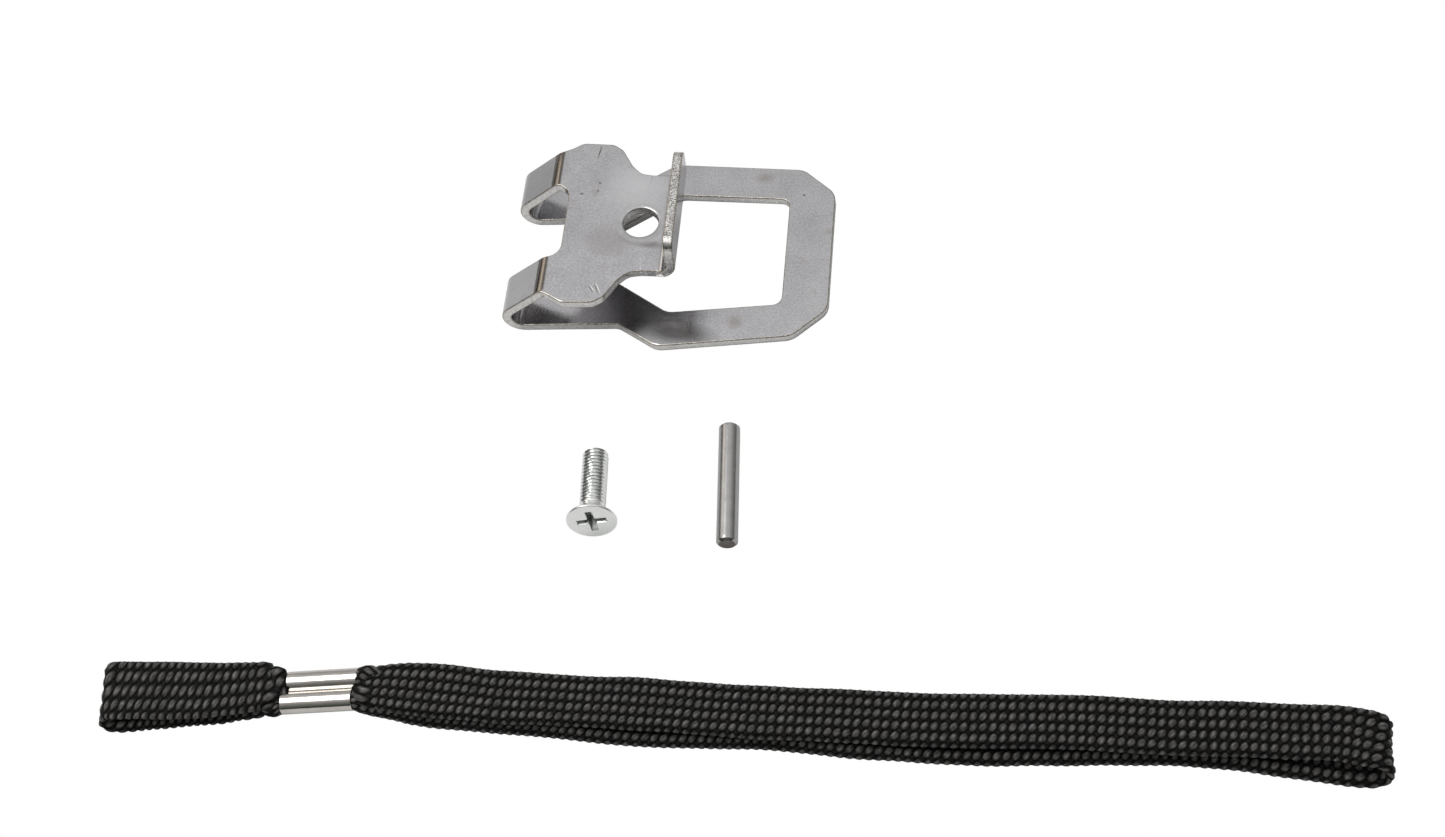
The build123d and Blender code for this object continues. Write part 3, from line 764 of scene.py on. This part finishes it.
# the flat of the face, between its edge and the cross, with two rings of points to keep its triangles even
flat_pts = [Vector(q[:2]) for q in hv[:NH + nc]]
flat_ids = list(range(NH + nc))
flat_edges = [(i, (i + 1) % NH) for i in range(NH)] + [(NH + i, NH + (i + 1) % nc) for i in range(nc)]
for rr in (3.9, 3.3):
    for i in range(64):
        flat_pts.append(Vector((rr * math.cos(2 * math.pi * i / 64), rr * math.sin(2 * math.pi * i / 64))))
        flat_ids.append(len(hv))
        hv.append((*flat_pts[-1], 0.0))
res = delaunay_2d_cdt(flat_pts, flat_edges, [], 2, 1e-6)
back_ids = [flat_ids[o[0]] for o in res[3]]
cross_ring = np.array(levels[0][1])
for tri_ in res[2]:
    c = np.mean([[res[0][q].x, res[0][q].y] for q in tri_], axis=0)
    if not inside(c, cross_ring):
        hf.append(tuple(back_ids[q] for q in tri_))
        hk.append(0)
base = len(verts)
rim = ringrow(total - 1)
screw_kind = [0] * len(faces)
verts += hv
faces += [tuple(base + q for q in ff) for ff in hf]
screw_kind += hk
# join the rim (NT points) to the face's outer ring (2 NT points)
for i in range(NT):
    j = (i + 1) % NT
    faces.append((rim + i, rim + j, base + (2 * i + 2) % NH, base + 2 * i + 1, base + 2 * i))
    screw_kind.append(0)
fm = np.array(screw_frame)
p = np.array(verts, float) @ fm[:3, :3].T + fm[:3, 3]
screw = mesh_object("machine_screw_cross", p, faces, (screw_mat, recess_mat), screw_kind)
outward(screw)
screw.data.polygons.foreach_set("use_smooth", np.ones(len(screw.data.polygons), bool))
screw.data.set_sharp_from_angle(angle=math.radians(38))
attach(screw, "screw")
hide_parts("countersunk_screw")

# ------------------------------------------------------------------ ferrule
BR, BP, BW, FL = 2.0, 3.7, 0.5, 13.2
FX, FY, FYAW, SKEW = LX - 54.7, LY - 95.9, 4.8, 0.4
z_cross = math.sqrt(BR * BR - (BP / 2) ** 2)
a_cross = math.degrees(math.atan2(z_cross, BP / 2))
FIL = 0.22
# outline of the two barrels in (y, z), with small fillets in the creases
right_arc = arc(BP / 2, 0, BR, -(180 - a_cross - 9), 180 - a_cross - 9, 56)
left_arc = [(-x, -z) for x, z in right_arc]
fil_top = []
p0, p1 = right_arc[-1], (-right_arc[-1][0], right_arc[-1][1])
for i in range(1, 6):
    q = i / 6
    fil_top.append((p0[0] + (p1[0] - p0[0]) * q, p0[1] - 0.16 * math.sin(math.pi * q) ** 0.8))
fil_bot = [(-x, -z) for x, z in fil_top]
outline = right_arc + fil_top + left_arc + fil_bot
bores = [[(sgn * BP / 2 + (BR - BW) * math.cos(2 * math.pi * i / 64), (BR - BW) * math.sin(2 * math.pi * i / 64))
          for i in range(64)] for sgn in (-1, 1)]
er = 0.16
endp = [(er, -FL / 2), (er * 0.5, -FL / 2 + er * 0.13), (er * 0.13, -FL / 2 + er * 0.5), (0, -FL / 2 + er)]
endp = endp + [(a, -h) for a, h in reversed(endp)]
v, f, kind = slab(outline, bores, FL, endp)
ferrule_frame = Matrix.Translation((FX, FY, BR)) @ Matrix.Rotation(math.radians(FYAW), 4, "Z")
fm = np.array(ferrule_frame)
v = np.array(v, float)
SPREAD = 0.23                                     # the near barrel sits a little further out
v = np.stack([v[:, 2] + SKEW * np.clip(v[:, 0] / 0.4, -1, 1), v[:, 0] - SPREAD * np.clip(-v[:, 0] / 0.5, 0, 1), v[:, 1]], 1)
v = v @ fm[:3, :3].T + fm[:3, 3]
ferrule = mesh_object("double_barrel_ferrule", v, f, (ferrule_mat,))
outward(ferrule)
ferrule.data.polygons.foreach_set("use_smooth", np.ones(len(ferrule.data.polygons), bool))
ferrule = weighted(ferrule)
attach(ferrule, "strap_clip")
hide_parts("strap_ferrule")


# -------------------------------------------------------------------- braid
def local(lx, ly, lz):
    q = fm[:3, :3] @ np.array((lx, ly, 0.0)) + fm[:3, 3]
    return (q[0], q[1], lz)


def spline(points, n):
    """natural cubic through the points by chord length; returns n samples"""
    P = np.array(points, float)
    seg = np.linalg.norm(np.diff(P[:, :3], axis=0), axis=1)
    t = np.concatenate([[0], np.cumsum(seg)])
    m_ = len(P)
    A = np.zeros((m_, m_))
    B = np.zeros((m_, P.shape[1]))
    A[0, 0] = A[-1, -1] = 1
    h = np.diff(t)
    for i in range(1, m_ - 1):
        A[i, i - 1], A[i, i], A[i, i + 1] = h[i - 1], 2 * (h[i - 1] + h[i]), h[i]
        B[i] = 6 * ((P[i + 1] - P[i]) / h[i] - (P[i] - P[i - 1]) / h[i - 1])
    M = np.linalg.solve(A, B)
    q = np.linspace(0, t[-1], n)
    i = np.clip(np.searchsorted(t, q, side="right") - 1, 0, m_ - 2)
    a, b, hh = t[i + 1] - q, q - t[i], h[i]
    a, b, hh = a[:, None], b[:, None], hh[:, None]
    out = (M[i] * a ** 3 + M[i + 1] * b ** 3) / (6 * hh) + (P[i] / hh - M[i] * hh / 6) * a + (P[i + 1] / hh - M[i + 1] * hh / 6) * b
    return out


def section(frac, w, t):
    """points of a flattened tube of width w and thickness t at fractions of its girth,
    starting at the +lateral edge and going over the top; returns lateral, normal and their outward direction"""
    r = t / 2
    flat = np.maximum(w - t, 0)
    girth = 2 * flat + 2 * math.pi * r
    s = frac * girth
    q = math.pi * r / 2
    lat, nrm, dl, dn = (np.zeros_like(s) for _ in range(4))
    # quarter turn at the + edge going up
    k = s < q
    a = np.where(k, s / r, 0)
    lat = np.where(k, flat / 2 + r * np.cos(a), lat)
    nrm = np.where(k, r * np.sin(a), nrm)
    dl, dn = np.where(k, np.cos(a), dl), np.where(k, np.sin(a), dn)
    k = (s >= q) & (s < q + flat)
    lat = np.where(k, flat / 2 - (s - q), lat)
    nrm = np.where(k, r, nrm)
    dn = np.where(k, 1.0, dn)
    k = (s >= q + flat) & (s < 3 * q + flat)
    a = np.where(k, math.pi / 2 + (s - q - flat) / r, 0)
    lat = np.where(k, -flat / 2 + r * np.cos(a), lat)
    nrm = np.where(k, r * np.sin(a), nrm)
    dl, dn = np.where(k, np.cos(a), dl), np.where(k, np.sin(a), dn)
    k = (s >= 3 * q + flat) & (s < 3 * q + 2 * flat)
    lat = np.where(k, -flat / 2 + (s - 3 * q - flat), lat)
    nrm = np.where(k, -r, nrm)
    dn = np.where(k, -1.0, dn)
    k = s >= 3 * q + 2 * flat
    a = np.where(k, 1.5 * math.pi + (s - 3 * q - 2 * flat) / r, 0)
    lat = np.where(k, flat / 2 + r * np.cos(a), lat)
    nrm = np.where(k, r * np.sin(a), nrm)
    dl, dn = np.where(k, np.cos(a), dl), np.where(k, np.sin(a), dn)
    return lat, nrm, dl, dn, girth


def braid(name, stations, columns, pitch, kdiv, warp=0.0, seed=1, relief=1.0):
    """Tubular 1/1 braid on a path of (x, y, z, width, thickness, tilt) stations, mm.
    The grid follows the yarns: kdiv steps across each crossing."""
    dense = spline(stations, 6000)
    # widths run straight from station to station, then are smoothed over half a millimetre
    P = np.array(stations, float)
    chord = np.concatenate([[0], np.cumsum(np.linalg.norm(np.diff(P[:, :3], axis=0), axis=1))])
    q = np.linspace(0, chord[-1], len(dense))
    win = max(3, int(0.26 / (chord[-1] / len(dense))) | 1)
    for i in (3, 4, 5):
        flat_ = np.interp(q, chord, P[:, i])
        padded_ = np.pad(flat_, win // 2, mode="edge")
        dense[:, i] = np.convolve(padded_, np.ones(win) / win, mode="valid")[: len(dense)]
    seg = np.linalg.norm(np.diff(dense[:, :3], axis=0), axis=1)
    arc_s = np.concatenate([[0], np.cumsum(seg)])
    total = arc_s[-1]
    p = pitch / 2
    nu = int(math.floor(total / p))               # half pitches along
    nu -= nu % 2
    NU, NV = nu * kdiv, 2 * columns * kdiv          # lattice indices along and around
    # points of the lattice with U + V even
    U, V = np.meshgrid(np.arange(NU + 1), np.arange(NV), indexing="ij")
    keep = (U + V) % 2 == 0
    index = -np.ones(U.shape, int)
    index[keep] = np.arange(keep.sum())
    Uk, Vk = U[keep], V[keep]
    u = Uk * p / kdiv * total / (nu * p)
    vfrac = Vk / NV
    # where around the tube: more open on the upper face when warp > 0
    phi = 2 * math.pi * vfrac
    if warp:
        target = phi.copy()
        for _ in range(30):
            phi = phi - (phi + warp * (np.cos(phi) - 1) - target) / (1 - warp * np.sin(phi))
    frac = (phi / (2 * math.pi)) % 1.0
    C = np.stack([np.interp(u, arc_s, dense[:, i]) for i in range(6)], 1)
    eps = 0.25
    ua, ub = np.clip(u - eps, 0, total), np.clip(u + eps, 0, total)
    Ta = np.stack([np.interp(ub, arc_s, dense[:, i]) - np.interp(ua, arc_s, dense[:, i]) for i in range(3)], 1)
    Ta /= np.linalg.norm(Ta, axis=1)[:, None]
    # the crosswise line keeps near +Y, turned in plan by the station's skew
    sk = np.radians(C[:, 5])
    lat0 = np.stack([-np.sin(sk), np.cos(sk), np.zeros_like(sk)], 1)
    lat0 = lat0 - Ta * (Ta * lat0).sum(1)[:, None]
    lat0 /= np.linalg.norm(lat0, axis=1)[:, None]
    nrm0 = np.cross(Ta, lat0)
    lat_v, nrm_v = lat0, nrm0
    w, t = C[:, 3], C[:, 4]
    # slow unevenness of the width and thickness
    rng = np.random.default_rng(seed)
    wob = np.zeros_like(u)
    for _ in range(5):
        L = rng.uniform(9, 34)
        wob += rng.uniform(0.4, 1.0) * np.sin(2 * math.pi * (u / L + rng.uniform(0, 1)))
    ends = smoothstep(0, 10, u) * smoothstep(0, 10, total - u)
    w = w + 0.08 * wob * ends
    lat, nrm, dl, dn, girth = section(frac, w, t)
    # yarn relief
    al = (Uk + Vk) / (2.0 * kdiv)
    be = (Uk - Vk) / (2.0 * kdiv)

    def heights(al, be):
        m_, n_ = np.round(al), np.round(be)
        a, b = al - m_, be - n_
        sg = np.where((m_ + n_) % 2 == 0, 1.0, -1.0)
        R = lambda q, k: 0.42 * np.sqrt(np.clip(1 - (k * q) ** 2 * 0.97, 0.0, 1))
        ha = R(b, 2.2) + 0.16 * sg * np.cos(math.pi * a)
        hb = R(a, 2.0) - 0.16 * sg * np.cos(math.pi * b) + 0.14
        return ha, hb, a, b

    ha, hb, a_, b_ = heights(al, be)
    hgt = np.maximum(ha, hb)
    scale_r = relief * np.clip(girth / (2 * columns * 0.95), 0.35, 1.1)
    off = (hgt - 0.52) * scale_r * (1 - 0.4 * dl ** 2)
    pos = C[:, :3] + lat_v * (lat + dl * off)[:, None] + nrm_v * (nrm + dn * off)[:, None]
    pos[:, 2] = np.maximum(pos[:, 2], 0.01)      # it rests on the surface
    # faces along the yarn grid
    gi = np.arange(NU - 1)
    faces = []
    Ug, Vg = np.meshgrid(np.arange(0, NU - 1), np.arange(NV), indexing="ij")
    ok = (Ug + Vg) % 2 == 0
    Ug, Vg = Ug[ok], Vg[ok]
    f0 = index[Ug, Vg]
    f1 = index[Ug + 1, (Vg + 1) % NV]
    f2 = index[Ug + 2, Vg]
    f3 = index[Ug + 1, (Vg - 1) % NV]
    quads = np.stack([f0, f3, f2, f1], 1)
    faces = quads.tolist()
    # end rows: triangles to a flat cap
    cap_verts = []
    for endU, first in ((0, True), (NU, False)):
        ids = [index[endU, vv] for vv in range(NV) if (endU + vv) % 2 == 0]
        nxtU = 1 if first else NU - 1
        nid = [index[nxtU, vv] for vv in range(NV) if (nxtU + vv) % 2 == 0]
        offv = 0 if endU % 2 == 0 else 1
        k = len(ids)
        for i in range(k):
            # ids[i] at V=2i+offv, next ring point between ids[i] and ids[i+1]
            vv = (2 * i + offv + 1) % NV
            mid = index[nxtU, vv]
            tri_ = (ids[i], mid, ids[(i + 1) % k])
            faces.append(tri_ if not first else tri_[::-1])
        cpos = pos[ids].mean(0)
        cap_verts.append((cpos, ids, first))
    verts = pos.tolist()
    for cpos, ids, first in cap_verts:
        ci = len(verts)
        verts.append(cpos.tolist())
        k = len(ids)
        for i in range(k):
            tri_ = (ids[i], ids[(i + 1) % k], ci)
            faces.append(tri_ if not first else tri_[::-1])
    ob = mesh_object(name, verts, faces, (braid_mat,))
    me = ob.data
    # per-corner yarn coordinates
    nq = len(quads)
    ac = al[quads]
    bc = be[quads]
    # unwrap around the seam
    cu = Uk[quads]
    cv = Vk[quads].astype(float)
    cv = cv - NV * np.round((cv - cv[:, :1]) / NV)
    ac, bc = (cu + cv) / (2.0 * kdiv), (cu - cv) / (2.0 * kdiv)
    am, bm_ = ac.mean(1), bc.mean(1)
    ham, hbm, _, _ = heights(am, bm_)
    isA = ham >= hbm
    along = np.where(isA[:, None], ac, bc)
    idx_y = np.where(isA, np.round(bm_), np.round(am))
    across = np.where(isA[:, None], bc - np.round(bm_)[:, None], ac - np.round(am)[:, None])
    yarn = np.zeros((len(me.loops), 3), np.float32)
    yl = np.stack([along * 1.3, across * 1.3, np.repeat((idx_y % (2 * columns))[:, None] * 3.7 + np.where(isA, 0.0, 50.0)[:, None], 4, 1)], -1)
    yarn[: nq * 4] = yl.reshape(-1, 3)
    at = me.attributes.new("yarn", "FLOAT_VECTOR", "CORNER")
    at.data.foreach_set("vector", yarn.reshape(-1))
    # mask for the painted shade in the gaps: 0 where a yarn dives, 1 on its top
    pr = np.zeros(len(verts), np.float32)
    pr[: len(hgt)] = smoothstep(0.34, 0.68, hgt) ** 1.6
    at = me.attributes.new("yarn_gap_shade", "FLOAT", "POINT")
    at.data.foreach_set("value", pr)
    # which set of yarns a face belongs to: the one that lies across the light gets the painted sheen, a paler colour
    st_ = np.zeros(len(me.polygons), np.float32)
    st_[: nq] = np.where(isA, 0.0, 1.0)
    at = me.attributes.new("set", "FLOAT", "FACE")
    at.data.foreach_set("value", st_)
    return ob, total


def L(x, y, z, w, t, tilt=0.0):
    return (LX + x, LY + y, z, w, t, tilt)


def fold_pts(x, zm, r, y0, y1, w, t, side, n=7):
    out = []
    for i in range(1, n):
        q = i / n
        a = math.radians(-90 + 180 * q)
        out.append(L(x + side * r * math.cos(a), y0 + (y1 - y0) * q, zm + r * math.sin(a), w, t))
    return out


GT, GW = 1.8, 9.5
gfx, gr = 125.75, 2.0
mouth = lambda lx, ly, z, w, t: (*local(lx, ly, z), w, t, 0.0)
grip_st = [mouth(4.2, -2.08, 2.0, 2.8, 2.75), mouth(6.1, -2.08, 2.0, 2.85, 2.8), mouth(6.3, -2.08, 2.0, 3.9, 3.7),
           mouth(7.3, -2.1, 1.9, 4.8, 3.5), L(-45.1, -97.15, 1.55, 6.2, 2.9), L(-41.6, -96.85, 1.2, 7.6, 2.35),
           L(-37.7, -96.9, 1.0, 9.0, 2.0), L(-33.9, -97.3, GT / 2, 9.2, GT), L(-28.4, -97.65, GT / 2, 9.3, GT),
           L(-21, -97.95, GT / 2, GW, GT), L(-13.7, -98.35, GT / 2, GW, GT), L(-6.4, -98.9, GT / 2, GW, GT),
           L(0.8, -99.45, GT / 2, GW, GT), L(9.6, -99.73, GT / 2, GW, GT), L(23.5, -99.55, GT / 2, GW, GT),
           L(32.2, -99.98, GT / 2, GW, GT), L(40.8, -100.62, GT / 2, GW, GT), L(50, -101.05, GT / 2, GW, GT),
           L(59.3, -101.3, GT / 2, GW, GT), L(74, -101.0, GT / 2, GW, GT), L(88.8, -100.45, GT / 2, GW, GT),
           L(101.6, -100.7, GT / 2, GW, GT), L(113.7, -102.05, GT / 2, GW, GT), L(120.2, -102.85, GT / 2, GW, GT),
           L(gfx - 1.5, -103.2, GT / 2, GW, GT, -1.5)]
grip_st += [(*q[:5], -2.5) for q in fold_pts(gfx - 0.15, GT / 2 + gr, gr, -103.25, -101.3, GW, GT, 1)]
grip_st += [L(gfx - 1.5, -101.0, GT / 2 + 2 * gr - 0.02, GW, GT, -1.5), L(120.5, -100.35, 4.75, GW, GT), L(114, -100.1, 4.4, GW, GT),
            L(106, -99.75, 4.1, GW, GT), L(95, -99.75, 3.95, GW, GT), L(82, -99.2, 3.8, GW, GT), L(67.5, -99.2, 3.7, GW, GT),
            L(50, -99.25, 3.6, GW, GT), L(40.5, -98.95, 3.6, GW, GT), L(23.2, -98.6, 3.6, GW, GT), L(9, -97.85, 3.5, GW, GT),
            L(0, -97.45, 3.4, GW, GT), L(-7.1, -97.3, 3.3, 9.4, GT), L(-14.4, -97.0, 3.25, 9.5, GT), L(-21.7, -96.8, 3.2, 9.7, GT),
            L(-26, -96.4, 3.15, 9.9, GT), L(-31, -96.0, 3.1, 10.1, 1.95), L(-34.8, -95.75, 3.1, 10.0, 2.0),
            L(-38.6, -95.55, 3.1, 9.5, 2.15), L(-41.2, -95.45, 3.05, 8.8, 2.4), L(-43.6, -95.45, 2.95, 8.1, 2.65),
            L(-45.5, -95.3, 2.8, 7.5, 2.95), mouth(8.4, 1.3, 2.55, 6.0, 3.3), mouth(7.5, 1.8, 2.15, 4.4, 3.8), mouth(7.12, 1.85, 2.05, 4.1, 3.8),
            mouth(6.95, 1.85, 2.0, 2.85, 2.8), mouth(4.9, 1.85, 2.0, 2.8, 2.75)]
grip, grip_len = braid("grip_loop_braid", grip_st, 11, 1.62, 6, seed=3)

AT, AW = 1.65, 11.3
afx, ar = -93.3, 1.65
anchor_st = [mouth(-4.9, -2.08, 2.0, 2.8, 2.75), mouth(-6.95, -2.08, 2.0, 2.85, 2.8), mouth(-7.12, -2.08, 1.98, 3.8, 3.6), mouth(-7.5, -2.08, 1.92, 4.0, 3.5),
             mouth(-8.3, -1.95, 1.8, 5.2, 3.4), L(-64.2, -96.35, 1.5, 7.4, 2.8), L(-66, -96.65, 1.2, 8.5, 2.35),
             L(-69.7, -97.0, 0.95, 9.2, 1.9), L(-72.4, -97.15, 0.87, 10.0, 1.75), L(-78, -97.25, AT / 2, 10.7, AT),
             L(-83.6, -97.75, AT / 2, AW, AT), (*L(-88.3, -98.25, AT / 2, AW, AT)[:5], 5.0), (*L(afx + 1.0, -98.7, AT / 2, AW, AT)[:5], 9.0)]
anchor_st += [(*q[:5], 9.0) for q in fold_pts(afx, AT / 2 + ar, ar, -98.7, -97.65, AW, AT, -1)]
anchor_st += [(*L(afx + 1.0, -97.65, AT / 2 + 2 * ar - 0.02, AW, AT)[:5], 9.0), (*L(-87.5, -97.5, 4.05, 10.9, AT)[:5], 3.5),
              L(-81.7, -97.4, 4.0, 11.1, AT), L(-75.9, -97.15, 3.85, 10.7, 1.75), L(-72.9, -96.9, 3.75, 10.2, 1.8),
              L(-70.1, -96.55, 3.6, 9.9, 1.95), L(-67.0, -96.1, 3.35, 9.5, 2.4), L(-64.9, -95.8, 3.15, 9.1, 2.9),
              mouth(-8.7, 1.0, 2.85, 8.2, 3.3), mouth(-8.0, 1.4, 2.65, 7.3, 3.7), mouth(-7.5, 1.7, 2.45, 6.3, 3.85),
              mouth(-6.95, 1.82, 2.15, 4.9, 3.9), mouth(-6.55, 1.85, 2.0, 2.85, 2.8), mouth(-4.2, 1.85, 2.0, 2.8, 2.75)]
anchor, anchor_len = braid("anchor_loop_braid", anchor_st, 11, 1.55, 7, warp=0.22, seed=8)

core_a = [mouth(x - 0.4, -2.08, 2.0, 2.8, 2.75) for x in (-4.6, -2.5, 0, 2.5, 4.7)]
core_b = [mouth(x + 0.4, 1.85, 2.0, 2.8, 2.75) for x in (-4.7, -2.5, 0, 2.5, 4.6)]
core1, _ = braid("braid_in_near_barrel", core_a, 11, 1.6, 2, seed=2)
core2, _ = braid("braid_in_far_barrel", core_b, 11, 1.6, 2, seed=2)
for ob in (core1, core2):
    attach(ob, "strap_clip")
    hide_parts("strap_core")

yaw = math.radians(FYAW)


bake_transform(grip)
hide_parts("strap_grip_loop")
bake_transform(anchor)
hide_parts("strap_anchor_loop")
print("braid lengths mm", round(grip_len, 1), round(anchor_len, 1), "faces", len(grip.data.polygons), len(anchor.data.polygons))

# -------------------------------------------------------- floor and lights
def plane(name, z, base, glow):
    fme = bpy.data.meshes.new(name)
    fme.from_pydata([(-3, -3, 0), (3, -3, 0), (3, 3, 0), (-3, 3, 0)], [], [(0, 1, 2, 3)])
    ob = bpy.data.objects.new(name, fme)
    scene.collection.objects.link(ob)
    ob.location.z = z
    fmat, fnt, fb = new_mat(name + "_white")
    fb.inputs["Base Color"].default_value = (base, base, base, 1)
    fb.inputs["Roughness"].default_value = 0.9
    fb.inputs["Specular IOR Level"].default_value = 0.0
    fb.inputs["Emission Color"].default_value = (1, 1, 1, 1)
    fb.inputs["Emission Strength"].default_value = glow
    fme.materials.append(fmat)
    return ob


# the white sweep that the camera sees, and the dimmer table top that the pieces are lit and reflected by
seen = plane("floor", -0.00002, 0.0, 1.0)
seen.visible_diffuse = seen.visible_glossy = seen.visible_transmission = seen.visible_shadow = False
table = plane("table_top", -0.00004, 0.78, 0.0)
table.visible_camera = False


def softbox(name, x0, x1, y0, y1, z, radiance, color=(1, 1, 1)):
    ld = bpy.data.lights.new(name, "AREA")
    ld.shape = "RECTANGLE"
    ld.size, ld.size_y = x1 - x0, y1 - y0
    ld.energy = radiance * math.pi * (x1 - x0) * (y1 - y0)
    ld.color = color
    ob = bpy.data.objects.new(name, ld)
    scene.collection.objects.link(ob)
    ob.location = ((x0 + x1) / 2, (y0 + y1) / 2, z)
    return ob


softbox("key", -0.62, -0.15, -0.27, 0.30, 0.70, 3.6)
softbox("warm_side", -1.45, -0.68, 0.45, 1.05, 0.70, 1.2, (1.0, 0.90, 0.78))

world = bpy.data.worlds.new("studio")
scene.world = world
world.use_nodes = True
wnt = world.node_tree
bg = wnt.nodes["Background"]
tc = wnt.nodes.new("ShaderNodeTexCoord")
sep = wnt.nodes.new("ShaderNodeSeparateXYZ")
wnt.links.new(tc.outputs["Generated"], sep.inputs[0])
wx, wy, wz = sep.outputs[0], sep.outputs[1], sep.outputs[2]
side = ramp(wnt, wz, [(0.0, 0.14), (0.12, 0.15), (0.36, 0.30), (0.6, 0.50), (0.75, 0.74), (0.86, 0.92), (1.0, 1.0)])
back = ramp(wnt, wz, [(0.0, 0.50), (0.40, 0.49), (0.60, 0.62), (0.74, 0.80), (0.86, 0.95), (1.0, 1.0)])
front = ramp(wnt, wz, [(0.0, (0.028, 0.032, 0.028)), (0.19, (0.057, 0.064, 0.057)), (0.37, (0.130, 0.143, 0.128)), (0.56, (0.215, 0.222, 0.213)),
                       (0.70, 0.31), (0.83, 0.50), (0.92, 0.80), (1.0, 1.0)])
kback = maprange(wnt, wy, 0.58, 0.80, 0.0, 1.0)
kfront = maprange(wnt, wy, -0.10, -0.45, 0.0, 1.0)
env = mix_color(wnt, kfront, mix_color(wnt, kback, side, back), front)
wnt.links.new(env, bg.inputs["Color"])
bg.inputs["Strength"].default_value = 1.0
